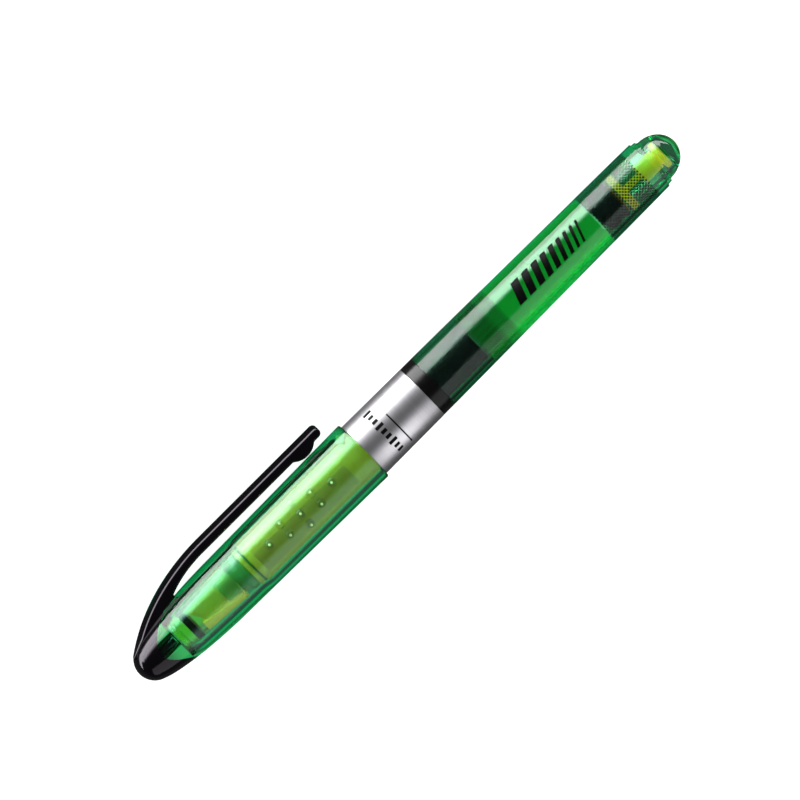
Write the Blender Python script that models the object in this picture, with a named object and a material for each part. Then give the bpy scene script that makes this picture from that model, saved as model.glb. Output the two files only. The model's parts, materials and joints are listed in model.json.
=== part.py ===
"""A capped liquid-ink highlighter: ink tank barrel, finned ink collector, chisel nib and a pull-off cap.

The pen lies along X with its cap tip at +X, resting on the cap's mouth rim and on the clip. Every
piece is drawn in the pen's own coordinates, which are turned about X as one, so that the clip
touches the surface that the pen lies on. A station is a distance from the cap's tip along the pen,
a radius is a distance from the pen's axis, and a height is a distance from the axis towards the clip.
"""

import math

import bmesh
import bpy
from mathutils import Vector

MM = 0.001  # every dimension below is in millimetres, and the meshes are in metres

# Whole pen
PEN_LENGTH = 145.0
GAP = 0.3  # clearance between pieces that meet
ROUND_STEPS = 36  # facets round an outer piece
INNER_STEPS = 20  # facets round a hidden piece
SMOOTH_ANGLE = math.radians(35)  # edges that turn more than this stay sharp

# Cap: a round nose, a flowing shoulder and a slightly flared tube
CAP_MOUTH = 60.8
CAP_MOUTH_R = 6.83
CAP_LIP_ROUND = 0.35
CAP_LIP_STEPS = 3
CAP_MOUTH_CHAMFER = 0.4
CAP_MOUTH_FLARE = 0.25
NOSE_R = 4.15
NOSE_END = 3.3
NOSE_STEPS = 7
SHOULDER = ((NOSE_END, 4.10), (5.4, 4.85), (13.5, 6.10), (24.0, 6.33))
SHOULDER_STEPS = 8
CAP_BORE_R = 5.2
CAP_BORE_START = 30.0
CAP_BORE_STEP = 0.4
CHAMBER_START = 9.9
CHAMBER_FRONT_R = 3.45
CHAMBER_REAR_R = 4.7
NOSE_RECESS_START = 4.6
NOSE_RECESS_R = 2.0
NOSE_RECESS_END_R = 1.4

# Black end cover over the nose, with a rounded window on each side
COVER_WALL = 0.7
COVER_TOP_END = 11.5
COVER_BOTTOM_END = 10.3
COVER_REACH = 14.5  # nothing of the cover's skin lies behind this station
COVER_STEP = 11.3  # where the cover's underside rises to clear the cap's outer skin
WINDOW_STEPS = 6
WINDOW_APEX = (5.6, -0.7)
WINDOW_UPPER = ((5.6, 1.2), (7.8, 3.9), (COVER_TOP_END, 4.8))
WINDOW_LOWER = ((5.6, -2.2), (7.5, -3.6), (COVER_BOTTOM_END, -5.3))

# Clip: one springy bar that grows out of the end cover
CLIP_OUTER = ((1.4, 3.2), (6.3, 6.95), (14.3, 10.65), (26.0, 10.75))
CLIP_INNER = ((15.4, 6.3), (18.4, 7.4), (21.0, 7.88), (25.0, 7.9))
CLIP_OUTER_STEPS = 12
CLIP_INNER_STEPS = 6
CLIP_END = 57.5
CLIP_OUTER_HEIGHT = CLIP_OUTER[3][1]
CLIP_INNER_HEIGHT = CLIP_INNER[3][1]
CLIP_ROOT_WIDTH = 4.6
CLIP_END_WIDTH = 4.2
CLIP_EDGE_ROUND = 0.7
CLIP_EDGE_STEPS = 2
CLIP_CORNER_ROUND = 0.75
CLIP_CORNER_STEPS = 3
CLIP_ROOT_BURIED = 2.65  # how near the axis the bar's root reaches inside the cover
CLIP_ROOT_FRONT = 2.2
FLEXURE = 17.5
FLEXURE_HEIGHT = 8.5
BUMP_CENTRE = 52.4
BUMP_CHORD = 5.6
BUMP_DEPTH = 0.83
BUMP_STEPS = 8

# Inner seal cup of the cap, which closes round the nib's holder
SEAL_START = 10.2
SEAL_FLOOR = 12.9
SEAL_MOUTH = 25.5
SEAL_FRONT_R = 3.15
SEAL_MOUTH_R = 4.2
SEAL_FLOOR_BORE_R = 2.55
SEAL_MOUTH_BORE_R = 3.65

# Chisel nib of bonded fibre
NIB_TIP = 14.45
NIB_SHOULDER = 21.4
NIB_END = 33.0
NIB_HEAD_R = 2.0
NIB_STEM_R = 1.6
NIB_SLANT = 2.2  # how far the tip's lower corner stands back
NIB_TIP_HALF_THICKNESS = 0.8

# Nose cone that holds the nib
HOLDER_FRONT = 21.8
HOLDER_FRONT_R = 2.34
HOLDER_REAR = 28.45
HOLDER_REAR_R = 4.2
HOLDER_NECK_END = 34.0
HOLDER_NECK_R = 3.2
HOLDER_BORE_R = 1.9

# Translucent grip section
GRIP_FRONT = 28.75
GRIP_RING_R = 4.45
GROOVE_START = 29.5
GROOVE_END = 30.3
GROOVE_R = 4.0
SEAL_SECTION_R = 0.2
SEAL_SECTION_STEPS = 5
GRIP_R = 4.75
GRIP_RIBS_START = 56.4
RIB_R = 4.9
RIB_WIDTH = 0.8
RIB_CHAMFER = 0.15
RIB_COUNT = 2
RIB_PITCH = 2.2
FLANGE_START = 61.1
FLANGE_END = 61.7
FLANGE_R = 5.4
GRIP_NECK_END = 70.0
GRIP_NECK_R = 4.6
GRIP_FRONT_BORE_R = 3.5
GRIP_BORE_R = 4.0
GRIP_BORE_START = 34.3
DOT_COLUMN_PITCH = 4.2
DOT_FIRST = 35.1
DOT_ROWS = (1, 2, 3, 2, 1)
DOT_ANGLE = math.radians(17.5)
DOT_R = 0.5
DOT_TOP_R = 0.25
DOT_RISE = 0.15
DOT_ROOT = 0.3  # how deep a dome's base is sunk in the grip's wall
DOT_SIDES = 6

# Ink collector: a finned core that buffers the ink
COLLECTOR_FRONT = 34.6
COLLECTOR_FRONT_END = 68.0
COLLECTOR_STEP = 70.4
COLLECTOR_END = 90.4
COLLECTOR_FRONT_R = 3.7
COLLECTOR_REAR_R = 4.4
COLLECTOR_CORE_R = 2.7
COLLECTOR_BORE_R = 1.35
FRONT_FINS = 7
REAR_FINS = 4

# Feed wick between the ink and the nib
WICK_START = 33.4
WICK_END = 90.1
WICK_R = 1.0

# Barrel, which is also the ink tank
NECK_START = 62.0
NECK_R = 5.45
BARREL_START = 79.5
BARREL_START_R = 6.05
BARREL_END = 138.3
BARREL_END_R = 5.53
BARREL_FRONT_BORE_R = 4.95
BARREL_REAR_BORE_R = 4.35

# Sleeves round the barrel's neck
BAND_START = 61.1
BAND_END = 76.45
BAND_START_R = 6.18
BAND_END_R = 6.08
RING_START = 76.75
RING_END = 79.2
RING_R = 6.06
SLEEVE_BORE_R = 5.75

# Ink and what closes the tank
INK_START = 90.9
INK_END = 123.2
STOPPER_START = 123.6
STOPPER_END = 129.6
STOPPER_R = 4.1
STOPPER_NOSE = 1.6
STOPPER_NOSE_STEPS = 5
STOPPER_GROOVE_R = 3.7
STOPPER_GROOVE_HALF = 0.6
CORE_START = 129.9
CORE_FLANGE_END = 131.3
CORE_FLANGE_R = 4.08
CORE_STEM_R = 2.85
CORE_STEM_END = 137.6
CORE_TONGUE_R = 1.5
CORE_END = 141.2

# Domed end plug
SKIRT_START = 131.8
SKIRT_R = 4.02
SKIRT_BORE_R = 3.2
PLUG_FLANGE_START = 138.6
PLUG_FLANGE_R = 5.2
PLUG_FLANGE_END = 139.3
PLUG_FLANGE_END_R = 5.08
PLUG_STEP = 139.35
PLUG_STEP_R = 4.86
DOME_START = 139.7
DOME_R = 4.66
DOME_STEPS = 8
PLUG_HOLLOW_END = 142.1
PLUG_HOLLOW_SHOULDER = 141.5
PLUG_HOLLOW_R = 2.2


# ---------------------------------------------------------------- outlines

def bezier(points, steps):
    """The points of a cubic curve from points[0] to points[3], both ends included."""
    curve = []
    for step in range(steps + 1):
        t = step / steps
        weights = ((1 - t) ** 3, 3 * t * (1 - t) ** 2, 3 * t * t * (1 - t), t ** 3)
        curve.append(tuple(sum(w * p[axis] for w, p in zip(weights, points)) for axis in (0, 1)))
    return curve


def arc(centre, radius, first_deg, last_deg, steps):
    """The points of an arc in the plane of station and height, angles counted from +station."""
    angles = [math.radians(first_deg + (last_deg - first_deg) * i / steps) for i in range(steps + 1)]
    return [(centre[0] + radius * math.cos(a), centre[1] + radius * math.sin(a)) for a in angles]


def value_at(points, station):
    """The height of a polyline of rising stations at one station."""
    for (s0, h0), (s1, h1) in zip(points, points[1:]):
        if s0 <= station <= s1:
            return h0 + (h1 - h0) * (station - s0) / (s1 - s0)
    return points[-1][1]


def part_of(points, start, end):
    """The stretch of a polyline of rising stations between two stations."""
    inside = [p for p in points if start + 1e-6 < p[0] < end - 1e-6]
    return [(start, value_at(points, start))] + inside + [(end, value_at(points, end))]


def lerp(a, b, share):
    return a + (b - a) * share


def cap_outline(inset, end):
    """The cap's outside from the axis to a station, moved inwards by inset."""
    last_angle = math.acos((NOSE_R - NOSE_END) / NOSE_R)
    nose = []
    for step in range(NOSE_STEPS):
        angle = last_angle * step / NOSE_STEPS
        radius = NOSE_R - inset
        nose.append((NOSE_R - radius * math.cos(angle), radius * math.sin(angle)))
    shoulder = [(s, r - inset) for s, r in bezier(SHOULDER, SHOULDER_STEPS)]
    whole = nose + shoulder + [(CAP_MOUTH, CAP_MOUTH_R - inset)]
    kept = [p for p in whole if p[0] < end - 1e-6]
    return kept + [(end, value_at(whole, end))]


def barrel_bore(station):
    return lerp(BARREL_FRONT_BORE_R, BARREL_REAR_BORE_R, (station - NECK_START) / (BARREL_END - NECK_START))


# ---------------------------------------------------------------- placing

def clip_half_width(station):
    share = min(max((station - CLIP_INNER[0][0]) / (CLIP_END - CLIP_INNER[0][0]), 0), 1)
    return lerp(CLIP_ROOT_WIDTH, CLIP_END_WIDTH, share) / 2


def clip_corner():
    """Height and half width of the centre of the clip's rounded edge, where its flat back begins."""
    return CLIP_OUTER_HEIGHT - CLIP_EDGE_ROUND, clip_half_width(CLIP_OUTER[3][0]) - CLIP_EDGE_ROUND


def roll_to_rest():
    """How far below horizontal the clip points when it and the cap's rim touch one plane."""
    height, half_width = clip_corner()
    reach = math.hypot(height, half_width)
    return math.asin((CAP_MOUTH_R - CLIP_EDGE_ROUND) / reach) - math.atan2(half_width, height)


def clip_side_reach(roll):
    """How far to the side of the pen's axis the rolled clip reaches."""
    height, half_width = clip_corner()
    return height * math.cos(roll) + half_width * math.sin(roll) + CLIP_EDGE_ROUND


def clear_scene():
    for obj in list(bpy.data.objects):
        bpy.data.objects.remove(obj, do_unlink=True)


def add_empty(name, location, parent=None):
    empty = bpy.data.objects.new(name, None)
    empty.empty_display_size = 5 * MM
    empty.location = location
    empty.parent = parent
    bpy.context.scene.collection.objects.link(empty)
    return empty


def point(station, height, across=0.0):
    """A place in the pen's coordinates, in metres, with the pen's middle at x = 0."""
    return Vector(((PEN_LENGTH / 2 - station) * MM, across * MM, height * MM))


# ---------------------------------------------------------------- meshes

def material(name, colour, roughness, metallic=0.0, transmission=0.0):
    """One Principled material."""
    made = bpy.data.materials.new(name)
    made.use_nodes = True
    shader = made.node_tree.nodes["Principled BSDF"]
    shader.inputs["Base Color"].default_value = (*colour, 1.0)
    shader.inputs["Roughness"].default_value = roughness
    shader.inputs["Metallic"].default_value = metallic
    shader.inputs["Transmission Weight"].default_value = transmission
    made.diffuse_color = (*colour, 1.0)
    return made


def add_object(name, bm, finish, parent, origin=Vector((0, 0, 0))):
    """Turns a bmesh in pen coordinates into an object whose own origin lies at origin."""
    bmesh.ops.recalc_face_normals(bm, faces=bm.faces)
    bmesh.ops.translate(bm, vec=-origin, verts=bm.verts)
    mesh = bpy.data.meshes.new(name)
    bm.to_mesh(mesh)
    bm.free()
    if finish is not None:
        mesh.materials.append(finish)
    mesh.shade_smooth()
    mesh.set_sharp_from_angle(angle=SMOOTH_ANGLE)
    obj = bpy.data.objects.new(name, mesh)
    obj.parent = parent
    obj.location = origin
    bpy.context.scene.collection.objects.link(obj)
    return obj


def spun(outline, steps, ring=False):
    """A body of revolution about the pen's axis. A ring's outline closes on itself."""
    bm = bmesh.new()
    verts = [bm.verts.new(point(s, r)) for s, r in outline]
    edges = [bm.edges.new(pair) for pair in zip(verts, verts[1:])]
    if ring:
        edges.append(bm.edges.new((verts[-1], verts[0])))
    bmesh.ops.spin(
        bm, geom=verts + edges, cent=(0, 0, 0), axis=(1, 0, 0), angle=math.tau, steps=steps, use_merge=True
    )
    bmesh.ops.remove_doubles(bm, verts=bm.verts, dist=1e-7)
    return bm


def slab(outline, half_width_at):
    """A closed outline of stations and heights, given a width that may change along the pen."""
    bm = bmesh.new()
    near = [bm.verts.new(point(s, h, -half_width_at(s))) for s, h in outline]
    far = [bm.verts.new(point(s, h, half_width_at(s))) for s, h in outline]
    bm.faces.new(near)
    bm.faces.new(list(reversed(far)))
    for i in range(len(outline)):
        j = (i + 1) % len(outline)
        bm.faces.new((near[j], near[i], far[i], far[j]))
    bmesh.ops.recalc_face_normals(bm, faces=bm.faces)
    return bm


def round_long_edges(bm, square_station):
    """Rounds the side edges of a slab, and leaves those of the end face at one station square."""
    at = point(square_station, 0).x
    chosen = []
    for edge in bm.edges:
        a, b = (v.co for v in edge.verts)
        crosses = a.y * b.y < 0
        on_end = abs(a.x - at) < 1e-6 and abs(b.x - at) < 1e-6
        if not crosses and not on_end:
            chosen.append(edge)
    bmesh.ops.bevel(
        bm,
        geom=chosen,
        offset=CLIP_EDGE_ROUND * MM,
        segments=CLIP_EDGE_STEPS,
        profile=0.5,
        affect="EDGES",
        clamp_overlap=True,
    )


def cut_flat(bm, place, normal):
    """Cuts away what lies beyond a plane and closes the cut."""
    cut = bmesh.ops.bisect_plane(
        bm,
        geom=bm.verts[:] + bm.edges[:] + bm.faces[:],
        plane_co=place,
        plane_no=normal,
        dist=1e-8,
        clear_outer=True,
    )
    rim = [e for e in cut["geom_cut"] if isinstance(e, bmesh.types.BMEdge)]
    bmesh.ops.contextual_create(bm, geom=rim)


def add_boolean(obj, operation, other):
    modifier = obj.modifiers.new(operation.title(), "BOOLEAN")
    modifier.operation = operation
    modifier.object = other
    modifier.solver = "EXACT"


def as_cutter(obj):
    obj.hide_render = True
    obj.display_type = "WIRE"
    return obj


# ---------------------------------------------------------------- cap and clip

def window_outline(inset):
    """What lies behind the end cover's edge, seen square to the clip: the two side windows run into it."""
    apex = (WINDOW_APEX[0] + inset, WINDOW_APEX[1])
    upper = [(s + inset, h - inset) for s, h in WINDOW_UPPER]
    lower = [(s + inset, h + inset) for s, h in WINDOW_LOWER]
    beyond = CAP_MOUTH_R + 2
    behind = FLEXURE
    top = bezier((apex, *upper), WINDOW_STEPS)
    bottom = bezier((apex, *lower), WINDOW_STEPS)
    corners = [(upper[2][0], beyond), (behind, beyond), (behind, -beyond), (lower[2][0], -beyond)]
    return top + corners + list(reversed(bottom[1:]))


def window_body(name, inset, parent):
    bm = slab(window_outline(inset), lambda station: CAP_MOUTH_R + 2)
    return as_cutter(add_object(name, bm, None, parent))


def make_cap_shell(parent):
    """Clear green cap: outer skin, main bore over the grip and a narrower chamber round the nib."""
    outer = cap_outline(0, CAP_MOUTH - CAP_LIP_ROUND)
    lip_centre = (CAP_MOUTH - CAP_LIP_ROUND, outer[-1][1] - CAP_LIP_ROUND)
    lip = arc(lip_centre, CAP_LIP_ROUND, 90, 0, CAP_LIP_STEPS)
    inside = [
        (CAP_MOUTH, CAP_BORE_R + CAP_MOUTH_FLARE),
        (CAP_MOUTH - CAP_MOUTH_CHAMFER, CAP_BORE_R),
        (CAP_BORE_START, CAP_BORE_R),
        (CAP_BORE_START - CAP_BORE_STEP, CHAMBER_REAR_R),
        (CHAMBER_START, CHAMBER_FRONT_R),
        (CHAMBER_START, NOSE_RECESS_R),
        (NOSE_RECESS_START, NOSE_RECESS_END_R),
        (NOSE_RECESS_START, 0),
    ]
    finish = material("green_clear_plastic_cap", (0.01, 0.42, 0.10), 0.08, transmission=0.85)
    cap = add_object("cap_shell", spun(outer[:-1] + lip + inside, ROUND_STEPS), finish, parent)

    proud = cap_outline(-1.0, COVER_REACH)
    under = cap_outline(COVER_WALL + GAP, COVER_REACH)
    recess = spun(proud + list(reversed(under)), ROUND_STEPS)
    cutter = as_cutter(add_object("cover_recess_cutter", recess, None, parent))
    add_boolean(cutter, "DIFFERENCE", window_body("window_tongue_guide", GAP, parent))
    add_boolean(cap, "DIFFERENCE", cutter)


def make_clip_base(parent):
    """Black end cover of the nose, with the root of the clip's bar."""
    finish = material("black_gloss_plastic_cover", (0.012, 0.010, 0.014), 0.15)
    nose = cap_outline(0, COVER_REACH)
    nose.append((nose[-1][0], 0))
    base = add_object("clip_base", spun(nose, ROUND_STEPS), finish, parent)
    add_boolean(base, "DIFFERENCE", window_body("window_cutter", 0, parent))

    end = FLEXURE - GAP / 2
    outer = part_of(bezier(CLIP_OUTER, CLIP_OUTER_STEPS), CLIP_OUTER[0][0], end)
    inner = part_of(bezier(CLIP_INNER, CLIP_INNER_STEPS), CLIP_INNER[0][0], end)
    buried = [(CLIP_INNER[0][0], CLIP_ROOT_BURIED), (CLIP_ROOT_FRONT, CLIP_ROOT_BURIED)]
    root = outer + list(reversed(inner)) + buried
    bar = slab(root, clip_half_width)
    round_long_edges(bar, end)
    add_boolean(base, "UNION", as_cutter(add_object("clip_root_guide", bar, None, parent)))

    under = cap_outline(COVER_WALL, COVER_STEP)
    over = [(s, r) for s, r in cap_outline(-GAP, FLEXURE) if s > COVER_STEP]
    core = under + [(COVER_STEP, over[0][1])] + over + [(FLEXURE, 0)]
    cutter = as_cutter(add_object("cover_core_cutter", spun(core, ROUND_STEPS), None, parent))
    add_boolean(base, "DIFFERENCE", cutter)


def make_clip_arm(parent, hinge):
    """The clip's free bar, with a rounded bump underneath that grips a pocket's hem against the cap."""
    start = FLEXURE + GAP / 2
    outer = part_of(bezier(CLIP_OUTER, CLIP_OUTER_STEPS), start, CLIP_OUTER[3][0])
    inner = part_of(bezier(CLIP_INNER, CLIP_INNER_STEPS), start, CLIP_INNER[3][0])
    corner = CLIP_CORNER_ROUND
    outer_corner = arc((CLIP_END - corner, CLIP_OUTER_HEIGHT - corner), corner, 90, 0, CLIP_CORNER_STEPS)
    inner_middle = (CLIP_END - corner, CLIP_INNER_HEIGHT + corner)
    inner_corner = arc(inner_middle, corner, 0, -90, CLIP_CORNER_STEPS)
    bump_radius = ((BUMP_CHORD / 2) ** 2 + BUMP_DEPTH ** 2) / (2 * BUMP_DEPTH)
    half_angle = math.degrees(math.asin(BUMP_CHORD / 2 / bump_radius))
    bump_centre = (BUMP_CENTRE, CLIP_INNER_HEIGHT - BUMP_DEPTH + bump_radius)
    bump = arc(bump_centre, bump_radius, -90 + half_angle, -90 - half_angle, BUMP_STEPS)
    outline = outer + outer_corner + inner_corner + bump + list(reversed(inner))
    bar = slab(outline, clip_half_width)
    round_long_edges(bar, start)
    finish = material("black_gloss_plastic_clip", (0.012, 0.010, 0.014), 0.15)
    add_object("clip_arm", bar, finish, parent, hinge)


def make_cap_inner_seal(parent):
    """Thin cup inside the cap that closes round the nib's holder and keeps the nib wet."""
    outline = [
        (SEAL_START, 0),
        (SEAL_START, SEAL_FRONT_R),
        (SEAL_MOUTH, SEAL_MOUTH_R),
        (SEAL_MOUTH, SEAL_MOUTH_BORE_R),
        (SEAL_FLOOR, SEAL_FLOOR_BORE_R),
        (SEAL_FLOOR, 0),
    ]
    finish = material("lime_clear_plastic_seal", (0.45, 0.80, 0.10), 0.15, transmission=0.7)
    add_object("cap_inner_seal", spun(outline, INNER_STEPS), finish, parent)


# ---------------------------------------------------------------- writing end

def make_chisel_nib(parent):
    """A round fibre rod, ground flat on both sides and cut at a slant to leave a broad edge."""
    outline = [
        (NIB_TIP, 0),
        (NIB_TIP, NIB_HEAD_R),
        (NIB_SHOULDER, NIB_HEAD_R),
        (NIB_SHOULDER, NIB_STEM_R),
        (NIB_END, NIB_STEM_R),
        (NIB_END, 0),
    ]
    bm = spun(outline, INNER_STEPS)
    cut_flat(bm, point(NIB_TIP, NIB_HEAD_R), Vector((2 * NIB_HEAD_R, 0, -NIB_SLANT)).normalized())
    flat_length = NIB_SHOULDER - NIB_TIP
    flat_rise = NIB_HEAD_R - NIB_TIP_HALF_THICKNESS
    for side in (1, -1):
        normal = Vector((flat_rise, side * flat_length, 0)).normalized()
        cut_flat(bm, point(NIB_TIP, 0, side * NIB_TIP_HALF_THICKNESS), normal)
    finish = material("yellow_green_fibre", (0.55, 0.85, 0.06), 0.75)
    add_object("chisel_nib", bm, finish, parent)


def make_nib_holder(parent):
    """Nose cone with a neck that plugs into the grip section and a bore for the nib."""
    outline = [
        (HOLDER_FRONT, HOLDER_BORE_R),
        (HOLDER_FRONT, HOLDER_FRONT_R),
        (HOLDER_REAR, HOLDER_REAR_R),
        (HOLDER_REAR, HOLDER_NECK_R),
        (HOLDER_NECK_END, HOLDER_NECK_R),
        (HOLDER_NECK_END, HOLDER_BORE_R),
    ]
    finish = material("green_clear_plastic_cone", (0.06, 0.50, 0.12), 0.12, transmission=0.6)
    add_object("nib_holder", spun(outline, INNER_STEPS, ring=True), finish, parent)


def make_seal_ring(parent):
    """Soft ring in the collar's groove, which the closed cap's wall seals against."""
    middle = (GROOVE_START + GROOVE_END) / 2
    section_middle = (middle, GROOVE_R + GAP / 2 + SEAL_SECTION_R)
    section = arc(section_middle, SEAL_SECTION_R, 0, 300, SEAL_SECTION_STEPS)
    finish = material("dark_green_elastomer", (0.0, 0.16, 0.05), 0.5)
    add_object("seal_ring", spun(section, ROUND_STEPS, ring=True), finish, parent)


def grip_dots():
    """Low domes in a diamond, on the two sides of the grip square to the clip."""
    domes = bmesh.new()
    height = DOT_RISE + DOT_ROOT
    middle_r = GRIP_R + DOT_RISE - height / 2
    for side in (1, -1):
        for column, rows in enumerate(DOT_ROWS):
            station = DOT_FIRST + column * DOT_COLUMN_PITCH
            for row in range(rows):
                angle = (row - (rows - 1) / 2) * 2 * DOT_ANGLE
                out = Vector((0, side * math.cos(angle), math.sin(angle)))
                dome = bmesh.ops.create_cone(
                    domes,
                    cap_ends=True,
                    segments=DOT_SIDES,
                    radius1=DOT_R * MM,
                    radius2=DOT_TOP_R * MM,
                    depth=height * MM,
                )
                turn = Vector((0, 0, 1)).rotation_difference(out).to_matrix()
                bmesh.ops.rotate(domes, cent=(0, 0, 0), matrix=turn, verts=dome["verts"])
                bmesh.ops.translate(domes, vec=point(station, 0) + out * middle_r * MM, verts=dome["verts"])
    return domes


def make_grip_section(parent):
    """Lime translucent section: front collar with a groove, a dotted grip, click ribs and a neck."""
    outside = [
        (GRIP_FRONT, GRIP_RING_R),
        (GROOVE_START, GRIP_RING_R),
        (GROOVE_START, GROOVE_R),
        (GROOVE_END, GROOVE_R),
        (GROOVE_END, GRIP_R),
    ]
    for rib in range(RIB_COUNT):
        start = GRIP_RIBS_START + rib * RIB_PITCH
        end = start + RIB_WIDTH
        rib_top = [(start + RIB_CHAMFER, RIB_R), (end - RIB_CHAMFER, RIB_R)]
        outside += [(start, GRIP_R)] + rib_top + [(end, GRIP_R)]
    outside += [
        (FLANGE_START, GRIP_R),
        (FLANGE_START, FLANGE_R),
        (FLANGE_END, FLANGE_R),
        (FLANGE_END, GRIP_NECK_R),
        (GRIP_NECK_END, GRIP_NECK_R),
    ]
    inside = [
        (GRIP_NECK_END, GRIP_BORE_R),
        (GRIP_BORE_START, GRIP_BORE_R),
        (GRIP_BORE_START, GRIP_FRONT_BORE_R),
        (GRIP_FRONT, GRIP_FRONT_BORE_R),
    ]
    finish = material("lime_translucent_plastic", (0.40, 0.80, 0.06), 0.2, transmission=0.6)
    grip = add_object("grip_section", spun(outside + inside, ROUND_STEPS, ring=True), finish, parent)
    add_boolean(grip, "UNION", as_cutter(add_object("grip_dot_guides", grip_dots(), None, parent)))


def fins(start, end, count, radius):
    """Outline of evenly spaced fins between two stations, each as wide as the gap after it."""
    pitch = (end - start) / (2 * count - 1)
    points = []
    for fin in range(count):
        near = start + 2 * fin * pitch
        far = near + pitch
        points += [(near, COLLECTOR_CORE_R), (near, radius), (far, radius), (far, COLLECTOR_CORE_R)]
    return points


def make_ink_collector(parent):
    """Finned core: its narrow half fills the grip and its wide half stands in the tank."""
    outside = fins(COLLECTOR_FRONT, COLLECTOR_FRONT_END, FRONT_FINS, COLLECTOR_FRONT_R)[1:]
    outside += fins(COLLECTOR_STEP, COLLECTOR_END, REAR_FINS, COLLECTOR_REAR_R)[:-1]
    bore = [(COLLECTOR_END, COLLECTOR_BORE_R), (COLLECTOR_FRONT, COLLECTOR_BORE_R)]
    finish = material("black_plastic_collector", (0.015, 0.015, 0.015), 0.4)
    add_object("ink_collector", spun(outside + bore, INNER_STEPS, ring=True), finish, parent)


def make_feed_wick(parent):
    outline = [(WICK_START, 0), (WICK_START, WICK_R), (WICK_END, WICK_R), (WICK_END, 0)]
    finish = material("ink_soaked_fibre", (0.30, 0.65, 0.05), 0.8)
    add_object("feed_wick", spun(outline, INNER_STEPS), finish, parent)


# ---------------------------------------------------------------- barrel

def make_barrel(parent):
    """Clear green barrel: a slim neck under the sleeves, then a tapering tank."""
    outline = [
        (NECK_START, NECK_R),
        (BARREL_START, NECK_R),
        (BARREL_START, BARREL_START_R),
        (BARREL_END, BARREL_END_R),
        (BARREL_END, BARREL_REAR_BORE_R),
        (NECK_START, BARREL_FRONT_BORE_R),
    ]
    finish = material("green_clear_plastic_barrel", (0.01, 0.42, 0.10), 0.08, transmission=0.85)
    add_object("barrel", spun(outline, ROUND_STEPS, ring=True), finish, parent)


def make_sleeves(parent):
    """Brushed metal band and the black ring behind it, both slid over the barrel's neck."""
    band = [
        (BAND_START, SLEEVE_BORE_R),
        (BAND_START, BAND_START_R),
        (BAND_END, BAND_END_R),
        (BAND_END, SLEEVE_BORE_R),
    ]
    ring = [(RING_START, SLEEVE_BORE_R), (RING_START, RING_R), (RING_END, RING_R), (RING_END, SLEEVE_BORE_R)]
    silver = material("silver_metal", (0.72, 0.71, 0.73), 0.28, metallic=1.0)
    black = material("black_gloss_plastic_ring", (0.012, 0.012, 0.012), 0.2)
    add_object("metal_band", spun(band, ROUND_STEPS, ring=True), silver, parent)
    add_object("trim_ring", spun(ring, ROUND_STEPS, ring=True), black, parent)


def make_ink_fill(parent):
    """The ink itself, as a body that fills the tank behind the collector."""
    start_r = barrel_bore(INK_START) - GAP
    end_r = barrel_bore(INK_END) - GAP
    outline = [(INK_START, 0), (INK_START, start_r), (INK_END, end_r), (INK_END, 0)]
    finish = material("green_ink", (0.0, 0.38, 0.08), 0.05, transmission=0.6)
    add_object("ink_fill", spun(outline, INNER_STEPS), finish, parent)


def make_rear_stopper(parent):
    """Black stopper with a rounded front and one sealing groove, which closes the tank."""
    middle = (STOPPER_START + STOPPER_END) / 2 + STOPPER_NOSE / 2
    nose_angles = [math.radians(90 * step / STOPPER_NOSE_STEPS) for step in range(STOPPER_NOSE_STEPS + 1)]
    nose = [
        (STOPPER_START + STOPPER_NOSE * (1 - math.cos(a)), STOPPER_R * math.sin(a)) for a in nose_angles
    ]
    rest = [
        (middle - STOPPER_GROOVE_HALF, STOPPER_R),
        (middle - STOPPER_GROOVE_HALF, STOPPER_GROOVE_R),
        (middle + STOPPER_GROOVE_HALF, STOPPER_GROOVE_R),
        (middle + STOPPER_GROOVE_HALF, STOPPER_R),
        (STOPPER_END, STOPPER_R),
        (STOPPER_END, 0),
    ]
    finish = material("black_rubber_stopper", (0.02, 0.016, 0.02), 0.5)
    add_object("rear_stopper", spun(nose + rest, INNER_STEPS), finish, parent)


def make_rear_core(parent):
    """Lime core behind the stopper, whose tongue shows inside the end plug's dome."""
    outline = [
        (CORE_START, 0),
        (CORE_START, CORE_FLANGE_R),
        (CORE_FLANGE_END, CORE_FLANGE_R),
        (CORE_FLANGE_END, CORE_STEM_R),
        (CORE_STEM_END, CORE_STEM_R),
        (CORE_STEM_END, CORE_TONGUE_R),
        (CORE_END, CORE_TONGUE_R),
        (CORE_END, 0),
    ]
    finish = material("lime_plastic_core", (0.50, 0.85, 0.06), 0.3)
    add_object("rear_core", spun(outline, INNER_STEPS), finish, parent)


def make_end_plug(parent):
    """Clear domed plug: a skirt inside the barrel, a flange on its end and a hollow dome."""
    dome_length = PEN_LENGTH - DOME_START
    dome = []
    for step in range(DOME_STEPS + 1):
        angle = math.radians(90 * step / DOME_STEPS)
        dome.append((DOME_START + dome_length * math.sin(angle), DOME_R * math.cos(angle)))
    dome[-1] = (PEN_LENGTH, 0)
    outline = [
        (PLUG_HOLLOW_END, 0),
        (PLUG_HOLLOW_SHOULDER, PLUG_HOLLOW_R),
        (PLUG_FLANGE_START, PLUG_HOLLOW_R),
        (PLUG_FLANGE_START, SKIRT_BORE_R),
        (SKIRT_START, SKIRT_BORE_R),
        (SKIRT_START, SKIRT_R),
        (PLUG_FLANGE_START, SKIRT_R),
        (PLUG_FLANGE_START, PLUG_FLANGE_R),
        (PLUG_FLANGE_END, PLUG_FLANGE_END_R),
        (PLUG_STEP, PLUG_STEP_R),
    ]
    finish = material("green_clear_plastic_plug", (0.02, 0.50, 0.12), 0.08, transmission=0.8)
    add_object("end_plug", spun(outline + dome, ROUND_STEPS), finish, parent)


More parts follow.
